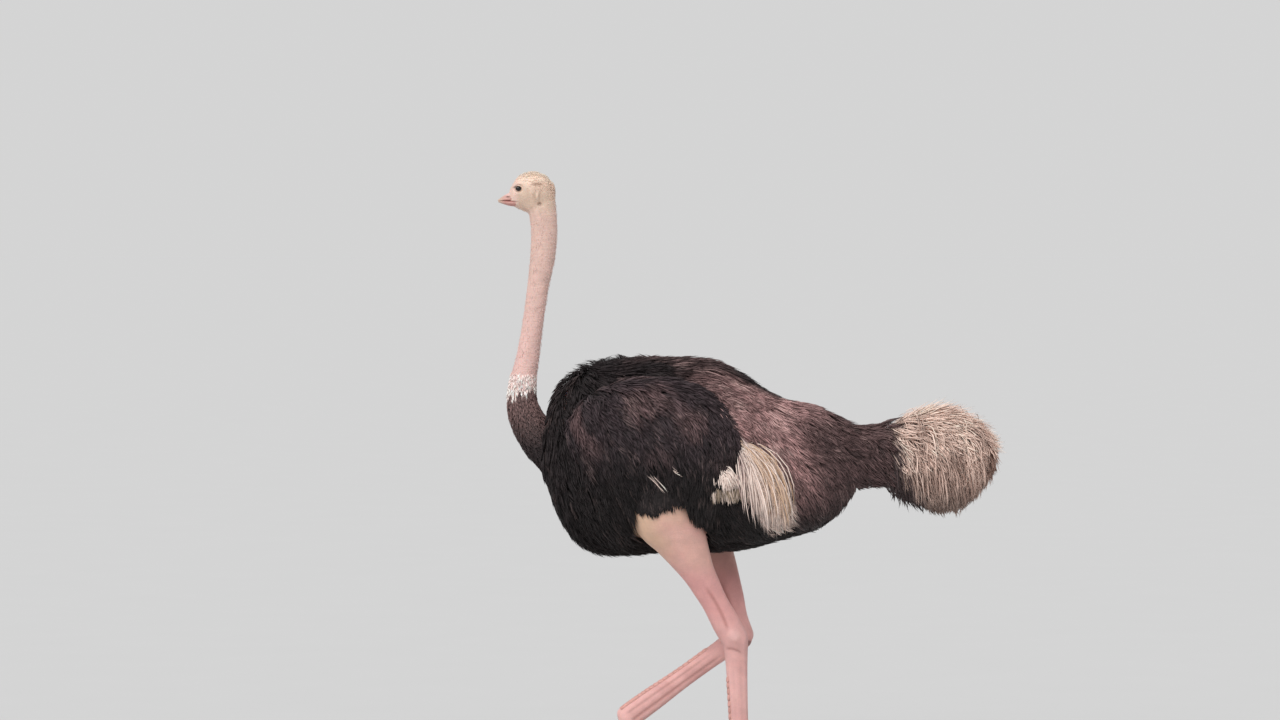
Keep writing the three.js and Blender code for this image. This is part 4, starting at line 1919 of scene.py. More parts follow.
    def _sample(self, trail: Array, plume: Array, share: Array) -> Array:
        """Reads each lock's place on its plume's walk.

        Args:
            trail: Places at every step of every plume.
            plume: Number of each lock's plume.
            share: Share of the walk for each lock.

        Returns:
            One place for each lock.
        """
        spot = share * self.STEPS
        base = np.clip(spot.astype(int), 0, self.STEPS - 1)
        f = (spot - base)[:, None]
        return trail[plume, base] * (1 - f) + trail[plume, base + 1] * f

    @staticmethod
    def _loosen(
        spine: Array, outward: Array, shares: Array, patch: CoatPatch, rng: np.random.Generator
    ) -> Array:
        """Lets the locks leave the body towards their tips, and waves them.

        Args:
            spine: Places along every lock.
            outward: The way outward at every root.
            shares: Share of the length at each place.
            patch: The stretch they grow on.
            rng: Seeded numbers.

        Returns:
            The looser places.
        """
        total = len(spine)
        start = spine[:, 0]
        span = np.linalg.norm(spine[:, -1] - start, axis=1)
        way = unit(spine[:, 1] - start)
        way = unit(way - 0.6 * outward * np.sum(way * outward, 1, keepdims=True))
        hang = np.clip(patch.hang * rng.uniform(0.3, 1.7, total), 0, 1)
        across = unit(np.cross(outward, way))
        phase = rng.uniform(0, 6.28, total)
        size = patch.wave * span * rng.uniform(*Coat.WAVES, total)
        loose = spine.copy()
        for k, f in enumerate(shares):
            rise = outward * 0.6 * patch.depth * (1 - (1 - f) ** 1.7)
            straight = start + way * (span * f)[:, None] + rise
            loose[:, k] += (straight - spine[:, k]) * (hang * f)[:, None]
            swing = np.sin(Coat.CURL * f + phase) - np.sin(phase)
            loose[:, k] += across * (size * swing)[:, None]
        return loose

    def weave(
        self, name: str, strands: Strands, tints: tuple[Array, Array], ridge: float = 0.75
    ) -> Object:
        """Makes one mesh of all the locks: each a thin three-sided spindle.

        Args:
            name: The piece's name.
            strands: The locks.
            tints: Colours at the roots and at the tips.
            ridge: Height of the locks as a share of their half width.

        Returns:
            The new object, with its bake map and tint.
        """
        spine = strands.spine
        total, stops = spine.shape[:2]
        rings = stops - 2
        steps = self._fractions(rings)
        swell = np.sin(np.pi * np.clip(steps * 0.8 + 0.12, 0, 1)) ** 0.7
        points, shares, sides = [spine[:, 0]], [0.0], [0.0]
        for k in range(1, rings + 1):
            way = unit(spine[:, k + 1] - spine[:, k - 1])
            across = unit(np.cross(way, strands.outward))
            up = unit(np.cross(across, way))
            half = (strands.width * swell[k] / 2)[:, None]
            middle = spine[:, k]
            points += [middle + across * half, middle - across * half, middle + up * half * ridge]
            shares += [steps[k]] * 3
            sides += [1.0, -1.0, 0.0]
        points.append(spine[:, -1])
        shares.append(1.0)
        sides.append(0.0)
        each = len(points)
        verts = np.stack(points, 1).reshape(-1, 3)
        tris = (self._spindle(rings)[None] + (np.arange(total) * each)[:, None, None]).reshape(-1, 3)
        mesh = self._mesh(name, verts, tris)
        share = np.array(shares)
        local = np.stack([np.array(sides) * 0.4 + 0.5, share], 1) * self.PATCH
        uv = 0.01 + 0.975 * np.repeat(strands.plate, each, 0) + np.tile(local, (total, 1))
        self._bake_map(mesh, uv, tris)
        level = np.tile(share**0.7, total)
        tint_points(mesh, blend(np.repeat(tints[0], each, 0), np.repeat(tints[1], each, 0), level))
        made = bpy.data.objects.new(name, mesh)
        bpy.context.scene.collection.objects.link(made)
        return made

    @staticmethod
    def _spindle(rings: int) -> Array:
        """Faces of one closed spindle, by its own vertex numbers.

        Args:
            rings: How many rings lie between its two ends.

        Returns:
            Three vertex numbers for each face.
        """
        faces = [[0, 2, 1], [0, 3, 2], [0, 1, 3]]
        for k in range(rings - 1):
            a, b = 1 + 3 * k, 4 + 3 * k
            for i, j in ((0, 1), (1, 2), (2, 0)):
                faces += [[a + i, a + j, b + i], [a + j, b + j, b + i]]
        a, tip = 1 + 3 * (rings - 1), 1 + 3 * rings
        faces += [[a, a + 1, tip], [a + 1, a + 2, tip], [a + 2, a, tip]]
        return np.array(faces)

    @staticmethod
    def _mesh(name: str, verts: Array, tris: Array) -> Mesh:
        """A smooth mesh from joined vertex and face arrays.

        Args:
            name: The mesh's name.
            verts: Places of all vertices.
            tris: Vertex numbers of all faces.

        Returns:
            The mesh.
        """
        mesh = bpy.data.meshes.new(name)
        mesh.vertices.add(len(verts))
        mesh.vertices.foreach_set("co", verts.astype(np.float32).ravel())
        mesh.loops.add(tris.size)
        mesh.loops.foreach_set("vertex_index", tris.astype(np.int32).ravel())
        mesh.polygons.add(len(tris))
        mesh.polygons.foreach_set("loop_start", np.arange(0, tris.size, 3, dtype=np.int32))
        mesh.update(calc_edges=True)
        mesh.shade_smooth()
        return mesh

    @staticmethod
    def _bake_map(mesh: Mesh, uv: Array, tris: Array) -> None:
        """Stores the bake map: one small patch at each lock's place on the body."""
        layer = mesh.uv_layers.new(name="OFBake")
        layer.uv.foreach_set("vector", uv[tris.ravel()].astype(np.float32).ravel())


@dataclass
class Plumage:
    """Every feathered piece of the bird."""

    anatomy: Anatomy
    markings: Markings
    coat: Coat = field(default_factory=Coat)
    half_width: float = 0.302
    wing_cover: Oval = (-0.2, 1.275, 0.27, 0.215)

    def build(self) -> list[Object]:
        """Grows every patch and returns the pieces.

        Returns:
            The coat pieces.
        """
        body = PlumeFinish("body_plumes").make()
        made = [self._grow_trunk(patch, body) for patch in self._trunk_patches()]
        wing_finish = PlumeFinish("wing_plumes").make()
        made += [self._grow_wing(side, wing_finish) for side in Side]
        pale = PlumeFinish("pale_plumes", 0.7, 0.25, 0.08).make()
        made += [self._grow_quills(side, pale) for side in Side]
        made.append(self._grow_tail(PlumeFinish("buff_plumes", 0.72, 0.1, 0.14).make()))
        made.append(self._grow_lower_neck(PlumeFinish("neck_feathers", 0.66, 0.1, 0.12).make()))
        down = PlumeFinish("fine_down", 0.75, 0.15, 0.06).make()
        made.append(self._grow_neck_down(down))
        made.append(self._grow_head_down(down))
        made.append(self._grow_lashes(PlumeFinish("lash_bristles", 0.5, 0.0, 0.05).make()))
        return made

    def _trunk_patches(self) -> list[CoatPatch]:
        """The stretches of body plumage.

        Returns:
            Breast, back, belly and the two sides of the rump.
        """
        shared = {"form": self.anatomy.trunk(), "lie": Lie.BODY, "width": 0.0058}
        breast = CoatPatch(
            "plumes_breast", span=(0.03, 0.28), arc=(0, 360), cell=0.021, locks=7,
            length=(0.085, 0.12), lift=0.006, hang=0.26, fan=15, seed=11, **shared,
        )
        back = CoatPatch(
            "plumes_back", span=(0.24, 0.46), arc=(98, 262), cell=0.0195, locks=8,
            length=(0.13, 0.17), lift=0.005, hang=0.18, seed=12, **shared,
        )
        belly = CoatPatch(
            "plumes_belly", span=(0.25, 0.46), arc=(-98, 98), cell=0.023, locks=7,
            length=(0.1, 0.11), lift=0.004, hang=0.2, seed=13, **shared,
        )
        rump = CoatPatch(
            "plumes_rump_left", span=(0.43, 0.745), arc=(180, 360), cell=0.0195, locks=8,
            length=(0.17, 0.1), lift=0.004, hang=0.2, fan=8, seed=14, **shared,
        )
        mirrored = replace(rump, name="plumes_rump_right", arc=(0, 180), seed=15)
        return [breast, back, belly, rump, mirrored]

    def _woven(
        self, name: str, strands: Strands, tints: tuple[Array, Array],
        look: tuple[Material, str], ridge: float = 0.75,
    ) -> Object:
        """Weaves locks into one dressed piece of the coat.

        Args:
            name: The piece's name.
            strands: The locks.
            tints: Colours at the roots and at the tips.
            look: Its material and the name of its slot.
            ridge: Height of the locks as a share of their half width.

        Returns:
            The piece.
        """
        made = self.coat.weave(name, strands, tints, ridge)
        dress(made, *look)
        return made

    def _toned(self, tint: Array, tone: Array, tip: float, root: float = 0.55) -> tuple[Array, Array]:
        """Root and tip colours of locks, darker or lighter by their tone."""
        shade = np.clip(1 + tone, 0.45, 1.8)[:, None]
        return tint * shade * root, tint * shade * tip

    def _grow_trunk(self, patch: CoatPatch, material: Material) -> Object:
        """Grows one stretch of body plumage where no wing or leg covers it.

        Args:
            patch: The stretch to cover.
            material: What the locks are made of.

        Returns:
            The piece.
        """
        strands = self.coat.strands(patch)
        strands = self._trimmed(strands.kept(self._open(strands.middle)))
        if patch.name == "plumes_back":
            strands = strands.joined(self._crest())
        tint = self.markings.trunk(strands.middle)
        # Painted sheen: some plumes are lightened into streaks.
        tint = self._backed(self._streaked(tint, strands, Hue.RUMP_LIGHT, 0.16, 0.3), strands)
        tints = self._toned(tint, strands.tone * 1.3, 1.25)
        return self._woven(patch.name, strands, tints, (material, "body_plumage"))

    def _backed(self, tint: Array, strands: Strands) -> Array:
        """Pales the locks that lie behind the pale plumes of a wing.

        Args:
            tint: Colours at those places.
            strands: The locks.

        Returns:
            The colours, paler behind the plumes.
        """
        spots, near = strands.middle, np.zeros(len(tint))
        for side in Side:
            own = spots[:, 1] * side.value > 0.1
            for row in self.anatomy.quills(side)[0].lane(12)[2:]:
                away = np.hypot(spots[:, 0] - row[0], spots[:, 2] - row[2]) / row[3]
                near = np.maximum(near, own * fade(away, 0.75, 1.05))
        return blend(tint, Hue.PALE_GREY, 0.8 * near)

    def _crest(self) -> Strands:
        """Ruffled tufts that stand up a little along the top of the shoulders.

        Returns:
            The locks.
        """
        patch = CoatPatch(
            "crest", self.anatomy.trunk(), (0.215, 0.335), (160, 200), Lie.AGAINST, 0.024, 8,
            (0.09, 0.085), 0.0046, 0.024, lift=0.016, hang=0.7, clump=0.8, fan=14, rings=3, seed=19,
        )
        strands = self.coat.strands(patch)
        return strands.kept(strands.luck < 0.62)

    def _streaked(self, tint: Array, strands: Strands, light: Hue, often: float, share: float) -> Array:
        """Lightens some plumes into long streaks of painted sheen.

        Args:
            tint: The locks' colours.
            strands: The locks.
            light: The colour of the painted sheen.
            often: Share of the plumes that are lighter.
            share: How far they go towards the light colour.

        Returns:
            The streaked colours.
        """
        pick = smooth(strands.luck, 1 - often, 1 - 0.3 * often)
        bright = np.max(tint, 1) / max(Hue.RUMP.linear.max(), 1e-6)
        return blend(tint, light, pick * share * np.clip(0.12 + bright, 0, 1))

    def _open(self, spots: Array) -> Array:
        """Which places on the trunk show, clear of wings, neck and legs.

        Args:
            spots: Places on the trunk.

        Returns:
            True for each place that shows.
        """
        x, y, z = spots.T
        covered = (oval_reach(x, z, self.wing_cover) ** 2 < 0.8) & (np.abs(y) > 0.12)
        for stride in self.anatomy.strides:
            reach = self.anatomy.upper_leg(stride).locate(spots)[2]
            under = z < self.anatomy.fringe(stride, x)
            covered |= (reach < 1.0) & (y * stride.side.value > 0.07) & under
        for row in self.anatomy.neck().lane(8, 0.3):
            covered |= np.linalg.norm(spots - row[:3], axis=1) < row[4] * 0.9
        return ~covered

    def _trimmed(self, strands: Strands) -> Strands:
        """Lays locks outside the thighs and ends them in a ragged fringe there.

        Args:
            strands: Locks that may hang over a thigh.

        Returns:
            The shortened locks, without those that are left too short.
        """
        rng = np.random.default_rng(17)
        spine = strands.spine
        jag = rng.normal(0, 0.011, len(spine))
        keep = np.ones(len(spine))
        stops = spine.shape[1]
        for stride in self.anatomy.strides:
            leg = self.anatomy.upper_leg(stride)
            for k in range(1, stops):
                spot, before = spine[:, k], spine[:, k - 1]
                low = (spot[:, 1] * stride.side.value > 0.05) & (spot[:, 2] < 1.16)
                over = np.flatnonzero(low & (keep > (k - 1) / (stops - 1)))
                hem = self.anatomy.fringe(stride, spot[over, 0]) + jag[over]
                cut = (leg.locate(spot[over])[2] < 1.06) & (spot[over, 2] < hem)
                over, hem = over[cut], hem[cut]
                fall = before[over, 2] - spot[over, 2]
                part = np.clip((before[over, 2] - hem) / np.maximum(fall, 1e-3), 0, 1)
                keep[over] = np.minimum(keep[over], (k - 1 + part) / (stops - 1))
        spine = self._shortened(spine, keep)
        for stride in self.anatomy.strides:
            leg = self.anatomy.upper_leg(stride)
            for k in range(1, stops):
                low = (spine[:, k, 1] * stride.side.value > 0.1) & (spine[:, k, 2] < 1.15)
                low &= spine[:, k, 2] > self.anatomy.fringe(stride, spine[:, k, 0]) - 0.03
                spine[low, k] = leg.cleared(spine[low, k], 0.003 + 0.001 * k)
        strands.spine = spine
        return strands.kept(keep > 0.3)

    @staticmethod
    def _shortened(spine: Array, keep: Array) -> Array:
        """Ends each lock at a share of its stops, with the stops spread anew.

        Args:
            spine: Places along every lock.
            keep: Share of each lock's length that stays.

        Returns:
            The new places.
        """
        last = spine.shape[1] - 1
        short = spine.copy()
        rows = np.arange(len(spine))
        for k in range(1, last + 1):
            spot = keep * k
            base = np.minimum(spot.astype(int), last - 1)
            f = (spot - base)[:, None]
            short[:, k] = spine[rows, base] * (1 - f) + spine[rows, base + 1] * f
        return short

    def _grow_wing(self, side: Side, material: Material) -> Object:
        """Grows a wing's drooping black plumes, with a fringe over the thigh.

        Args:
            side: Which side of the bird.
            material: What the locks are made of.

        Returns:
            The piece.
        """
        middle = 270 if side is Side.LEFT else 90
        patch = CoatPatch(
            f"plumes_wing_{side.tag}", self.anatomy.wing(side), (0.02, 0.97),
            (middle - 118, middle + 118), Lie.WING, 0.0202, 9, (0.13, 0.15), 0.0059,
            depth=0.022, lift=0.004, hang=0.26, fan=9, wave=0.05, seed=31,
        )
        strands = self.coat.strands(patch)
        low = strands.spine[:, 0, 2]
        strands.spine[:, 1:] = self._plumb(strands.spine, fade(low, 1.1, 1.26))
        strands = self._trimmed(strands)
        spots = strands.middle
        # Painted shade: the wing darkens towards its lower edge.
        tint = blend(Hue.WING, Hue.UNDERSIDE_SHADE, fade(spots[:, 2], 1.12, 1.34))
        # Painted sheen: brownish blotches over the upper wing.
        painted_sheen = smooth(ripple(spots, 0.07, 33), 0.0, 1.0) * smooth(spots[:, 2], 1.15, 1.35)
        tint = blend(tint, Hue.RUMP.linear * 0.8, 0.3 * painted_sheen)
        # Painted sheen: some plumes are lightened into streaks.
        tint = self._streaked(tint, strands, Hue.RUMP_LIGHT, 0.2, 0.34)
        for extra in (self._mantle(side), self._thigh_fringe(side)):
            tint = np.concatenate([tint, self.markings.trunk(extra.middle)])
            strands = strands.joined(extra)
        shafts = self._shafts(side, strands.spine.shape[1])
        tint = np.concatenate([tint, np.tile(Hue.PALE_GREY.linear, (len(shafts.tone), 1))])
        strands = strands.joined(shafts)
        tints = self._toned(tint, strands.tone * 1.3, 1.25)
        return self._woven(patch.name, strands, tints, (material, "wing_plumage"))

    def _mantle(self, side: Side) -> Strands:
        """Locks that spill from the back over a wing's upper edge.

        Args:
            side: Which side of the bird.

        Returns:
            The locks.
        """
        arc = (203, 238) if side is Side.LEFT else (122, 157)
        patch = CoatPatch(
            "mantle", self.anatomy.trunk(), (0.17, 0.42), arc, Lie.BODY, 0.021, 8,
            (0.15, 0.13), 0.0056, depth=0.016, fan=8, wave=0.05, seed=37,
        )
        strands = self.coat.spring(patch, (0.56, 0, -0.6), 0.3, 0.14, 0.9)
        strands.plate = 0.5 + 0.1 * strands.plate
        return strands

    def _thigh_fringe(self, side: Side) -> Strands:
        """Locks that hang over the top of a thigh down to the ragged hem.

        Args:
            side: Which side of the bird.

        Returns:
            The locks.
        """
        stride = next(s for s in self.anatomy.strides if s.side is side)
        arc = (190, 350) if side is Side.LEFT else (10, 170)
        patch = CoatPatch(
            "fringe", self.anatomy.upper_leg(stride), (0.02, 0.24), arc, Lie.WING, 0.019, 8,
            (0.08, 0.08), 0.0052, depth=0.004, lift=0.006, hang=0.4, seed=38,
        )
        strands = self.coat.strands(patch)
        hem = self.anatomy.fringe(stride, strands.spine[:, 0, 0])
        strands = self._trimmed(strands.kept(strands.spine[:, 0, 2] > hem + 0.012))
        strands.plate = 0.62 + 0.06 * strands.plate
        return strands

    def _shafts(self, side: Side, stops: int) -> Strands:
        """The few pale shafts that stray over the lower wing, with this many stops.

        Args:
            side: Which side of the bird.
            stops: How many places run along each lock.

        Returns:
            The locks.
        """
        shared = {
            "loose": (0.004, 0.004), "locks": 1, "skip": 0.45, "tuck": 0.0, "plate": 0.7,
            "width": 0.0019, "bow": 0.1, "cell": 0.004, "wave": 0.06,
        }
        low = Spray(
            root=(-0.236, 1.202), slopes=(36, 43), reach=(0.15, 0.17, 0.15), pull=0.14, count=5,
            out=0.289, seed=35, **shared,
        )
        high = Spray(
            root=(-0.143, 1.217), slopes=(50, 58), reach=(0.09, 0.095, 0.09), pull=-0.3, count=4,
            out=0.288, seed=36, **shared,
        )
        both = self._spray(side, low).joined(self._spray(side, high))
        both.spine = both.spine[:, np.linspace(0, both.spine.shape[1] - 1, stops).round().astype(int)]
        return both

    @staticmethod
    def _plumb(spine: Array, share: Array) -> Array:
        """Hangs locks straight down from their roots by a share of the way.

        Args:
            spine: Places along every lock.
            share: How far each lock is turned.

        Returns:
            The places after the root.
        """
        start = spine[:, :1]
        run = np.linalg.norm(spine[:, 1:] - start, axis=2)
        out = np.sign(start[:, 0, 1])[:, None] * 0.1 * run
        hung = start + np.stack([0.2 * run, out, -run], 2)
        weight = (0.8 * share)[:, None, None]
        return spine[:, 1:] * (1 - weight) + hung * weight

    def _spray(self, side: Side, spray: Spray) -> Strands:
        """Grows one fan of plumes that falls from behind a wing.

        Args:
            side: Which wing.
            spray: The fan's place and size.

        Returns:
            Its locks.
        """
        rng = np.random.default_rng(spray.seed)
        count = spray.count
        fan, depth = rng.uniform(0, 1, count) ** 1.2, rng.uniform(0, 1, count)
        slope = np.radians(spray.slopes[0] + np.ptp(spray.slopes) * fan) + rng.normal(0, 0.05, count)
        reach = np.interp(fan, [0, 0.45, 1], spray.reach) * rng.beta(5, 1, count)
        x, z = (spray.root[k] + rng.normal(0, spray.loose[k], count) for k in (0, 1))
        y = side.value * (spray.out - 0.014 + 0.018 * depth)
        bulge = side.value * (0.14 * depth - 0.02)
        way = unit(np.stack([np.cos(slope), bulge, -np.sin(slope)], 1))
        shape = CoatPatch(
            "", self.anatomy.wing(side), (0, 1), (0, 360), Lie.RUN, spray.cell, spray.locks,
            spray.reach[:2], spray.width, wave=spray.wave, rings=4,
        )
        plate = np.stack([fan, spray.plate + 0.28 * depth], 1)
        skip = rng.uniform(0, 1, count) * spray.skip
        strands = self.coat.arched(
            shape, np.stack([x, y, z], 1), way, reach, spray.pull, plate, rng, spray.bow,
            spray.splay, skip,
        )
        run = np.linspace(0, 1, strands.spine.shape[1])
        strands.spine[:, :, 1] -= side.value * spray.tuck * run**2
        strands.spine[:, :, 1] = np.clip(strands.spine[:, :, 1], -self.half_width, self.half_width)
        strands.outward = np.tile([0.1, float(side.value), 0.1], (len(strands.tone), 1))
        return strands

    def _grow_quills(self, side: Side, material: Material) -> Object:
        """Grows the pale plumes that fall from behind a wing.

        Args:
            side: Which side of the bird.
            material: What the locks are made of.

        Returns:
            The piece.
        """
        long = self._spray(side, Spray(
            root=(0.086, 1.29), loose=(0.009, 0.014), slopes=(22, 74), reach=(0.42, 0.36, 0.23),
            pull=0.49, count=320, locks=9, skip=0.5, out=0.216, tuck=0.03, plate=0.0, seed=51,
            splay=0.11, wave=0.07, width=0.0044,
        ))
        white = self._spray(side, Spray(
            root=(0.024, 1.21), loose=(0.009, 0.007), slopes=(10, 80), reach=(0.125, 0.115, 0.09),
            pull=0.35, count=110, locks=8, skip=0.5, out=0.25, tuck=0.004, plate=0.34, seed=52,
            width=0.0042, cell=0.011, splay=0.12,
        ))
        hem = self._spray(side, Spray(
            root=(0.052, 1.146), loose=(0.036, 0.007), slopes=(40, 95), reach=(0.06, 0.065, 0.06),
            pull=0.5, count=70, locks=7, skip=0.2, out=0.24, tuck=0.004, plate=0.68, seed=53,
            width=0.0032, cell=0.008,
        ))
        ground = self._spray(side, Spray(
            root=(0.086, 1.29), loose=(0.009, 0.014), slopes=(20, 70), reach=(0.405, 0.345, 0.21),
            pull=0.49, count=200, locks=4, skip=0.4, out=0.212, tuck=0.03, plate=0.0, seed=54,
            width=0.012, cell=0.014, wave=0.05,
        ))
        long = long.joined(ground)
        every = long.joined(white).joined(hem)
        place = np.arange(len(every.tone))
        in_long, in_hem = place < len(long.tone), place >= len(every.tone) - len(hem.tone)
        along, luck, z = every.plate[:, 0], every.luck, every.middle[:, 2]
        outer = fade(along, 0.02, 0.4) * in_long
        tint = blend(Hue.CREAM, Hue.GOLD, 0.85 * outer * smooth(luck, 0.15, 0.6))
        # Painted shade: the lower inner part of the long plumes is greyer.
        inner = fade(z, 1.03, 1.12) * in_long * (1 - outer)
        tint = blend(tint, Hue.PALE_GREY, 0.6 * inner)
        few = fade(luck, 0.12, 0.26) * fade(np.abs(along - 0.55), 0.1, 0.45) * smooth(z, 1.08, 1.18)
        edge = smooth(along, 0.7, 0.9) * smooth(luck, 0.1, 0.4)
        tint = blend(tint, Hue.RUMP, 0.75 * in_long * np.maximum(few, edge))
        tint = blend(tint, Hue.OLIVE, in_hem * (0.35 + 0.5 * (luck > 0.5)))
        tints = self._toned(tint, every.tone * 0.25 - 0.02, 1.0, 0.98)
        look = (material, "wing_quill_plumes")
        made = self._woven(f"plumes_quill_{side.tag}", every, tints, look, 0.4)
        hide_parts(f"wing_plumes_{side.tag}")
        return made

    def _grow_tail(self, material: Material) -> Object:
        """Grows the buff tail plumes that arch over and hang.

        Args:
            material: What the locks are made of.

        Returns:
            The piece.
        """
        trunk = self.anatomy.trunk()
        patch = CoatPatch(
            "plumes_tail", trunk, (0.755, 0.99), (30, 330), Lie.TAIL, 0.0215, 7, (0.19, 0.13),
            0.0056, depth=0.032, lift=0.006, hang=0.62, fan=9, wave=0.045, rings=4, seed=61,
        )
        loose = replace(
            patch, span=(0.77, 0.93), arc=(55, 305), cell=0.026, locks=5, length=(0.23, 0.17),
            width=0.0044, depth=0.02, seed=65,
        )
        over = self._hemmed(self.coat.spring(loose, (0.5, 0, -0.2), 0.34, 0.72, 1.035))
        strands = self._hemmed(self.coat.strands(patch)).joined(over)
        under = CoatPatch(
            "plumes_under", trunk, (0.75, 0.97), (-50, 50), Lie.TAIL, 0.02, 7,
            (0.09, 0.08), 0.0052, depth=0.04, lift=0.004, hang=0.3, fan=14, seed=64,
        )
        short = self.coat.strands(under)
        short.plate[:, 1] = 0.7 + 0.3 * short.plate[:, 1]
        strands.plate[:, 1] *= 0.68
        strands = self._padded(strands, short)
        x, _, z = strands.middle.T
        patchy = 0.4 * ripple(strands.middle, 0.06, 62) + 0.5 * (strands.luck - 0.5)
        brown = np.clip(0.56 - 0.85 * smooth(z, 1.12, 1.4) + 0.3 * smooth(x, 0.86, 0.97) + patchy, 0, 1)
        tint = blend(Hue.TAIL_TOP, Hue.BUFF_BROWN, brown)
        tint = blend(tint, Hue.BUFF_BROWN.linear * 0.35, fade(z, 1.06, 1.14) * 0.6)
        front = x + 0.02 * ripple(strands.middle, 0.03, 63) - 0.9 * np.maximum(1.15 - z, 0)
        tint = blend(Hue.TAIL_STALK, tint, smooth(front, 0.655, 0.685))
        tints = self._toned(tint, strands.tone * 0.45, 1.04, 0.98)
        made = self._woven(patch.name, strands, tints, (material, "tail_plumes"), 0.45)
        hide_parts("tail_plumes")
        return made

    def _hemmed(self, strands: Strands) -> Strands:
        """Ends the loose tail locks along a ragged edge that climbs to the rear.

        Args:
            strands: The locks.

        Returns:
            The shortened locks, without those left too short.
        """
        spine = strands.spine
        jag = np.random.default_rng(66).normal(0, 0.014, (len(spine), 1))
        gap = spine[:, :, 2] - 1.045 - 0.9 * np.maximum(spine[:, :, 0] - 0.86, 0) - jag
        last = spine.shape[1] - 1
        keep = np.ones(len(spine))
        for k in range(last, 0, -1):
            part = gap[:, k - 1] / np.maximum(gap[:, k - 1] - gap[:, k], 1e-6)
            keep = np.where(gap[:, k] < 0, (k - 1 + np.clip(part, 0, 1)) / last, keep)
        strands.spine = self._shortened(spine, keep)
        return strands.kept(keep > 0.3)

    @staticmethod
    def _padded(strands: Strands, short: Strands) -> Strands:
        """Joins locks of fewer rings to locks of more by adding stops along them.

        Args:
            strands: Locks with more stops.
            short: Locks with fewer stops.

        Returns:
            All of the locks.
        """
        stops = strands.spine.shape[1]
        spot = np.linspace(0, short.spine.shape[1] - 1, stops)
        base = np.minimum(spot.astype(int), short.spine.shape[1] - 2)
        f = (spot - base)[None, :, None]
        short.spine = short.spine[:, base] * (1 - f) + short.spine[:, base + 1] * f
        return strands.joined(short)

    def _grow_lower_neck(self, material: Material) -> Object:
        """Grows the short feathers of the lower neck and the white ring.

        Args:
            material: What the locks are made of.

        Returns:
            The piece.
        """
        patch = CoatPatch(
            "feathers_neck", self.anatomy.neck(), (0.1, 0.465), (0, 360), Lie.AGAINST, 0.0125, 5,
            (0.046, 0.026), 0.0036, depth=0.007, lift=0.0015, hang=0.15, clump=0.5, fan=9,
            wave=0.05, rings=2, seed=71,
        )
        strands = self.coat.strands(patch)
        strands = strands.kept(strands.spine[:, 0, 2] < self.markings.ring_top + 0.02)
        spots = strands.middle
        tints = self._toned(self.markings.neck(spots), strands.tone * 0.6, 1.12)
        ringed = smooth(spots[:, 2] - self.markings.ring_edge(spots), -0.004, 0.004)
        tints = (tints[0] * (1 + 0.95 * ringed)[:, None], tints[1] * (1 + 0.1 * ringed)[:, None])
        return self._woven(patch.name, strands, tints, (material, "neck_feathers"))

    def _grow_neck_down(self, material: Material) -> Object:
        """Grows sparse pale down on the bare neck, thickest along the nape.

        Args:
            material: What the locks are made of.

        Returns:
            The piece.
        """
        patch = CoatPatch(
            "down_neck", self.anatomy.neck(), (0.43, 0.96), (0, 360), Lie.AGAINST, 0.0105, 4,
            (0.014, 0.014), 0.0012, depth=0.0022, lift=0.003, hang=0.3, clump=0.3, fan=20,
            wave=0.1, rings=1, seed=81,
        )
        strands = self.coat.strands(patch)
        rng = np.random.default_rng(82)
        nape = smooth(strands.outward[:, 0], 0.2, 0.8)
        strands = strands.kept(rng.uniform(0, 1, len(nape)) < 0.35 + 0.65 * nape)
        tint = blend(self.markings.neck(strands.middle), Hue.RING, np.full(len(strands.tone), 0.6))
        return self._woven(patch.name, strands, (tint, tint * 1.05), (material, "skin"))

    def _grow_head_down(self, material: Material) -> Object:
        """Grows the short bristly down of the crown, cheeks and nape.

        Args:
            material: What the locks are made of.

        Returns:
            The piece.
        """
        patch = CoatPatch(
            "down_head", self.anatomy.skull(), (0.2, 0.98), (0, 360), Lie.RUN, 0.0058, 4,
            (0.009, 0.015), 0.0009, depth=0.001, lift=0.002, hang=0.5, clump=0.3, fan=26,
            wave=0.12, rings=1, seed=91,
        )
        strands = self.coat.strands(patch)
        x, _, z = strands.spine[:, 0].T
        eye = oval_reach(x, z, (-0.674, 2.179, 0.024, 0.016)) < 1
        ear = oval_reach(x, z, (-0.608, 2.145, 0.008, 0.026)) < 1
        often = 0.2 + 0.8 * smooth(z + 0.5 * (x + 0.62), 2.16, 2.21)
        thin = np.random.default_rng(92).uniform(0, 1, len(x)) < often
        strands = strands.kept(~eye & ~ear & thin & ((z > 2.115) | (x < -0.625)))
        rear = smooth(strands.outward[:, 0], 0.3, 0.8) + smooth(strands.outward[:, 2], 0.6, 0.9)
        strands.width *= 1 + 0.5 * rear
        strands.spine[:, 1:] += (strands.outward * (0.003 * rear)[:, None])[:, None]
        tint = blend(self.markings.head(strands.middle), Hue.CROWN, np.full(len(strands.tone), 0.4))
        shade = (1.2 + 0.25 * strands.tone)[:, None]
        tints = (tint * shade, tint * shade * 1.05)
        return self._woven(patch.name, strands, tints, (material, "skin"))

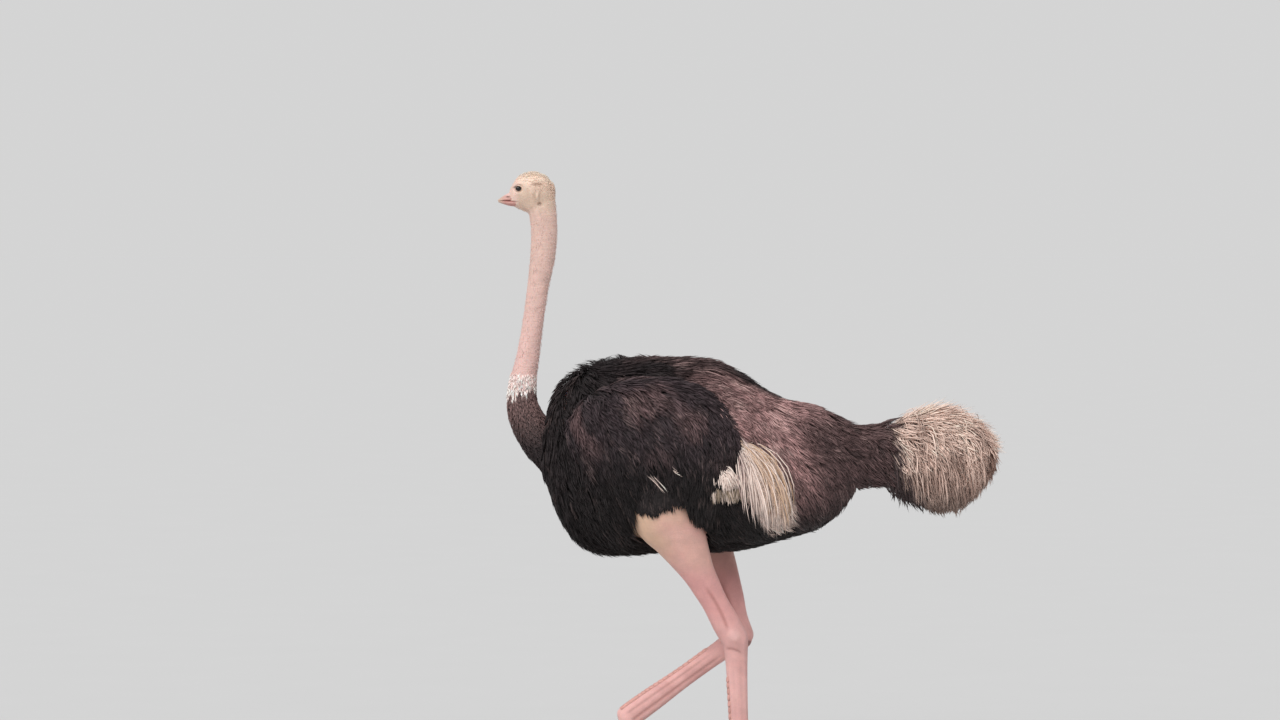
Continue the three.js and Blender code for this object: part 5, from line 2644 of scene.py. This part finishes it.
    def _grow_lashes(self, material: Material) -> Object:
        """Grows the dark bristle lashes along the upper lids.

        Args:
            material: What the locks are made of.

        Returns:
            The piece.
        """
        socket = Socket()
        ex, ey, ez = socket.place
        rng = np.random.default_rng(95)
        spines, plates = [], []
        for side in Side:
            for k, angle in enumerate(np.linspace(0.7, 3.0, 34)):
                lx = math.cos(angle) * socket.lid_long * 1.08
                lz = math.sin(angle) * socket.lid_high * 1.1
                out = ey + math.sqrt(socket.radius**2 - lx**2 - lz**2) + 0.002
                root = np.array([ex + lx, side.value * out, ez + lz])
                lean = np.array([lx * 20 - 0.7, side.value * 0.6, 0.25 + lz * 8])
                way = unit(lean + rng.normal(0, 0.1, 3))
                reach = rng.uniform(0.005, 0.009) * (1 + 0.5 * (lx < 0))
                fall = np.array([0, 0, -0.25 * reach])
                spines.append([root + way * reach * f + fall * f * f for f in Coat._fractions(2)])
                plates.append((k / 40, 0.2 if side is Side.LEFT else 0.8))
        total = len(spines)
        strands = Strands(
            spine=np.array(spines),
            outward=np.tile([0.0, 0.0, 1.0], (total, 1)),
            width=np.full(total, 0.0007),
            tone=np.zeros(total),
            luck=np.zeros(total),
            plate=np.array(plates),
        )
        tint = np.tile(Hue.LASH.linear, (total, 1))
        return self._woven("lashes", strands, (tint, tint), (material, "claw_horn"))


# ---------------------------------------------------------------- head fittings
@dataclass
class Eyes:
    """The two eyeballs with their dark iris and pupil, in linear colours."""

    BROWN = (0.014, 0.008, 0.006)
    BLACK = (0.004, 0.003, 0.003)
    RIM = (0.012, 0.008, 0.007)

    socket: Socket = Socket()
    iris: float = 0.0105
    pupil: float = 0.0055

    def build(self) -> list[Object]:
        """Builds both eyes in place of their nodes.

        Returns:
            The left eye and the right one.
        """
        material = EyeFinish().make()
        made = []
        for side in Side:
            bm = bmesh.new()
            bmesh.ops.create_uvsphere(bm, u_segments=40, v_segments=28, radius=self.socket.radius)
            x, y, z = self.socket.place
            turn = Matrix.Rotation(math.radians(90), 4, "X")
            bmesh.ops.transform(bm, matrix=turn, verts=bm.verts)
            bmesh.ops.translate(bm, vec=(x, y * side.value, z), verts=bm.verts)
            eye = object_from(bm, f"eyeball_{side.tag}")
            points = points_of(eye.data)
            across = np.hypot(points[:, 0] - x, points[:, 2] - z)
            tint = blend(self.BROWN, self.BLACK, fade(across, self.pupil, self.pupil + 0.001))
            tint = blend(tint, self.RIM, smooth(across, self.iris - 0.001, self.iris + 0.0006))
            tint_points(eye.data, tint)
            dress(eye, material, "eyeball")
            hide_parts(f"eye_{side.tag}")
            made.append(eye)
        return made


@dataclass
class Bill:
    """The upper and lower bill with nostrils, cutting edges and a nail at the tip."""

    gape: float = 2.1358
    nostril: tuple[float, float] = (-0.7145, 2.1505)
    flank: float = 0.006

    def build(self) -> list[Object]:
        """Builds both bills in place of their nodes.

        Returns:
            The upper bill and the lower one.
        """
        finish = HornFinish("bill_horn", 0.4, (1.0, 1.0, 1.6)).make()
        upper = Form(
            [
                slab(-746.5, 2142, 2135.5, 8),
                slab(-739, 2148, 2136, 13),
                slab(-727, 2155, 2136.5, 18),
                slab(-712, 2163, 2136.5, 21.5),
                slab(-696, 2170, 2135.5, 23.5),
                slab(-680, 2176, 2136, 25),
            ],
            upright=True, fullness=2.3, sag=0.35, domes=(1.0, 0.2),
        )
        lower = Form(
            [
                slab(-745, 2135.7, 2131, 7.5),
                slab(-737, 2136.3, 2127.5, 12.5),
                slab(-725, 2136.9, 2123.5, 17),
                slab(-711, 2136.9, 2119.5, 20.5),
                slab(-697, 2136.2, 2117.5, 22.5),
                slab(-682, 2136.3, 2117, 23),
            ],
            upright=True, fullness=2.4, sag=-0.3, domes=(1.0, 0.2),
        )
        made = []
        for name, form in (("bill_upper", upper), ("bill_lower", lower)):
            bm = bmesh.new()
            form.add_to(bm, 56, 48)
            bill = object_from(bm, f"horn_{name}")
            points = points_of(bill.data)
            if name == "bill_upper":
                points = self._nostrils(points)
            move_points(bill.data, points)
            tint_points(bill.data, self._tint(points))
            dress(bill, finish, "bill_horn")
            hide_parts(name)
            made.append(bill)
        return made

    def _nostrils(self, points: Array) -> Array:
        """Sinks a long oval nostril in each side and a ridge along the top.

        Args:
            points: Places on the upper bill.

        Returns:
            The moved places.
        """
        x, y, z = points.T
        hole = self._hole(points, 0.0075, 0.0026)
        points[:, 1] -= np.sign(y) * 0.0055 * hole
        groove = hump(x, -0.706, 0.02) * hump(z, 2.1545, 0.003) * (np.abs(y) > self.flank)
        points[:, 1] -= np.sign(y) * 0.0014 * groove
        points[:, 2] += 0.0012 * hump(y, 0, 0.0045) * smooth(z, 2.146, 2.156)
        return points

    def _hole(self, points: Array, long: float, high: float) -> Array:
        """How far places are within the nostrils, for holes of these half sizes."""
        x, y, z = points.T
        return hump(x, self.nostril[0], long) * hump(z, self.nostril[1], high) * (np.abs(y) > self.flank)

    def _tint(self, points: Array) -> Array:
        """Pink horn, paler to the tip, with a painted highlight along the top, redder along the gape,
        and painted shade in the nostrils.

        Args:
            points: Places on either bill.

        Returns:
            One linear colour for each place.
        """
        x, _, z = points.T
        tint = blend(Hue.BILL, Hue.BILL_TIP, fade(x, -0.744, -0.722))
        # Painted highlight: the top of the upper bill is paler.
        tint = blend(tint, Hue.RING, 0.5 * smooth(z, 2.149, 2.162))
        tint = blend(tint, Hue.GAPE, 0.35 * fade(z, 2.122, 2.134))
        tint = blend(tint, Hue.EAR_BROWN, 0.5 * hump(x, -0.7, 0.014) * hump(z, 2.15, 0.007))
        edge = hump(z, self.gape, 0.0035) * smooth(x, -0.745, -0.715)
        tint = blend(tint, Hue.GAPE, 0.75 * edge)
        # Painted shade: the nostril openings are near black.
        return blend(tint, Hue.LASH, 0.85 * self._hole(points, 0.0065, 0.0022))


# ---------------------------------------------------------------- feet
@dataclass
class Feet:
    """Claws and the row of scutes down each shank and toe."""

    anatomy: Anatomy
    shank_plates: int = 24
    toe_plates: int = 13
    outer_plates: int = 8

    def build(self) -> list[Object]:
        """Builds claws and scutes of both legs.

        Returns:
            The claws and scutes of both feet.
        """
        claw_finish = HornFinish("claw_horn", 0.38, (2.0, 2.0, 0.6)).make()
        scute_finish = HornFinish("scute_horn", 0.5, (1.0, 1.0, 1.0)).make()
        made = []
        for stride in self.anatomy.strides:
            made += self._claws(stride, claw_finish)
            made.append(self._scutes(stride, scute_finish))
        return made

    def _claws(self, stride: Stride, material: Material) -> list[Object]:
        """Builds one foot's claws in place of their nodes.

        Args:
            stride: The leg it belongs to.
            material: The claw horn.

        Returns:
            The big claw and the small one.
        """
        forms = {
            "claw_main": self.anatomy.main_claw_form(stride),
            "claw_outer": self.anatomy.outer_claw_form(stride),
        }
        made, pale = [], Hue.CLAW.linear * 1.7
        for name, form in forms.items():
            bm = bmesh.new()
            form.add_to(bm, 26, 24)
            claw = object_from(bm, f"horn_{name}_{stride.side.tag}")
            points = rest_on_base(claw.data)
            tips = np.linalg.norm(points - points.mean(0), axis=1)
            tint_points(claw.data, blend(Hue.CLAW, pale, smooth(tips, 0.01, 0.035)))
            dress(claw, material, "claw_horn")
            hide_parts(f"{name}_{stride.side.tag}")
            made.append(claw)
        return made

    def _scutes(self, stride: Stride, material: Material) -> Object:
        """Lays overlapping plates down the front of a shank and along its toes.

        Args:
            stride: The leg it belongs to.
            material: The scute horn.

        Returns:
            The plates in one piece.
        """
        bm, body, on_toe = bmesh.new(), self.anatomy, (0.3, 0.6, 0.66)
        lanes = (
            (body.shank(stride), self.shank_plates, (0.36, 0.55, 0.6), 0.0, 0.62),
            (body.main_toe_form(stride), self.toe_plates, on_toe, math.pi, 0.62),
            (body.outer_toe_form(stride), self.outer_plates, on_toe, math.pi, 0.6),
        )
        for form, count, (start, length, cover), turn, reach in lanes:
            for k in range(count):
                self._plate(bm, form, start + length * k / count, cover / count, turn, reach)
        made = object_from(bm, f"scutes_{stride.side.tag}")
        points = points_of(made.data)
        shade = 0.95 + 0.12 * ripple(points, 0.01, 41)
        tint_points(made.data, Hue.SCUTE.linear[None] * shade[:, None])
        dress(made, material, "skin")
        return made

    @staticmethod
    def _plate(bm: BMesh, form: Form, share: float, run: float, turn: float, reach: float) -> None:
        """Lays one curved plate on a form, thick at its lower edge.

        Args:
            bm: The mesh to add to.
            form: The limb it lies on.
            share: Where it starts along the limb.
            run: How much of the limb it covers.
            turn: The middle of its turn round the limb.
            reach: How far it reaches each way round.
        """
        verts, flat = flat_sheet(bm, 4, 6)
        u, v = (flat[:, 0] + 1) / 2, flat[:, 1]
        edge = np.maximum(np.abs(v), np.abs(flat[:, 0]))
        bow = 0.16 * run * v**2
        rise = (0.0012 * smooth(u, 0.0, 0.85) - 0.0004) - 0.0018 * smooth(edge, 0.8, 1.0)
        places = form.place(share + u * run - bow, turn + v * reach, -rise)
        for vert, spot in zip(verts, places):
            vert.co = spot
        faces = list({f for v in verts for f in v.link_faces})
        bmesh.ops.recalc_face_normals(bm, faces=faces)
        bmesh.ops.solidify(bm, geom=faces, thickness=0.0008)


# ---------------------------------------------------------------- stand and studio
@dataclass
class Stand:
    """The flat base plate."""

    def build(self, nodes: dict[str, Object]) -> Object:
        """Dresses the base's own node.

        Args:
            nodes: The frame's objects by name.

        Returns:
            The base.
        """
        board = nodes["stand_base"]
        board.data.materials.clear()
        board.data.materials.append(BoardFinish().make())
        return board


@dataclass
class Studio:
    """Floor, light and camera."""

    distance: float = 18.0
    middle: float = -0.252
    height: float = 2.098
    pitch: float = 1.65
    lens: float = 144.6
    room: float = 0.66
    key: float = 1.9
    aim: tuple[float, float, float] = (0.34, 0.68, -0.65)

    @property
    def floor(self) -> float:
        """The floor's paleness that makes it as bright as the room behind it."""
        return self.room / (self.room - self.key * self.aim[2] / math.pi)

    def build(self) -> None:
        """Sets the stage."""
        bpy.context.scene.view_settings.view_transform = "Standard"
        self._floor()
        self._world()
        self._lights()
        self._camera()

    def _floor(self) -> None:
        """Lays a wide pale floor."""
        bm = bmesh.new()
        bmesh.ops.create_circle(bm, cap_ends=True, segments=96, radius=220)
        floor = object_from(bm, "floor")
        graph = NodeGraph("pale_floor")
        grain = graph.noise(2.5, detail=2)
        base = graph.node("ShaderNodeRGB")
        base.outputs[0].default_value = (self.floor, self.floor, self.floor, 1)
        graph.tinted(base.outputs[0], grain, 0.995, 1.005)
        graph.settings(roughness=1.0, specular_ior_level=0.0)
        floor.data.materials.append(graph.material)

    def _world(self) -> None:
        """Fills the room with even pale light."""
        world = bpy.data.worlds.new("soft_room")
        bpy.context.scene.world = world
        world.use_nodes = True
        sky = world.node_tree.nodes["Background"]
        sky.inputs["Color"].default_value = (1.0, 1.0, 1.0, 1)
        sky.inputs["Strength"].default_value = self.room

    def _lights(self) -> None:
        """Shines one broad soft light from high before the bird's left shoulder."""
        light = bpy.data.lights.new("key", "SUN")
        light.energy = self.key
        light.angle = math.radians(40)
        lamp = bpy.data.objects.new("key", light)
        lamp.location = (-2.5, -5.0, 7.5)
        lamp.rotation_euler = Vector(self.aim).to_track_quat("-Z", "Y").to_euler()
        bpy.context.scene.collection.objects.link(lamp)

    def _camera(self) -> None:
        """Stands a long lens level with the bird's head, square to its left side."""
        data = bpy.data.cameras.new("camera")
        data.lens = self.lens
        data.sensor_width = 36
        data.clip_end = 500
        camera = bpy.data.objects.new("camera", data)
        camera.location = (self.middle, -self.distance, self.height)
        camera.rotation_euler = (math.radians(90 - self.pitch), 0, 0)
        bpy.context.scene.collection.objects.link(camera)
        bpy.context.scene.camera = camera


# ---------------------------------------------------------------- assembly
def triangles(obj: Object) -> int:
    """How many triangles a piece has."""
    obj.data.calc_loop_triangles()
    return len(obj.data.loop_triangles)


def main() -> None:
    """Builds the bird piece by piece on its frame."""
    logging.basicConfig(level=logging.INFO, format="%(name)s: %(message)s")
    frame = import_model()
    anatomy, markings = Anatomy(), Markings()
    pieces = [Skin(anatomy, markings).build()]
    pieces += Eyes().build()
    pieces += Bill().build()
    pieces += Feet(anatomy).build()
    pieces += Plumage(anatomy, markings).build()
    pieces.append(Stand().build(frame["nodes"]))
    for piece in pieces:
        LOG.info("%s: %d triangles", piece.name, triangles(piece))
    LOG.info("total %d triangles", sum(triangles(p) for p in pieces))
    Studio().build()
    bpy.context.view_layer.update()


if __name__ == "__main__":
    main()
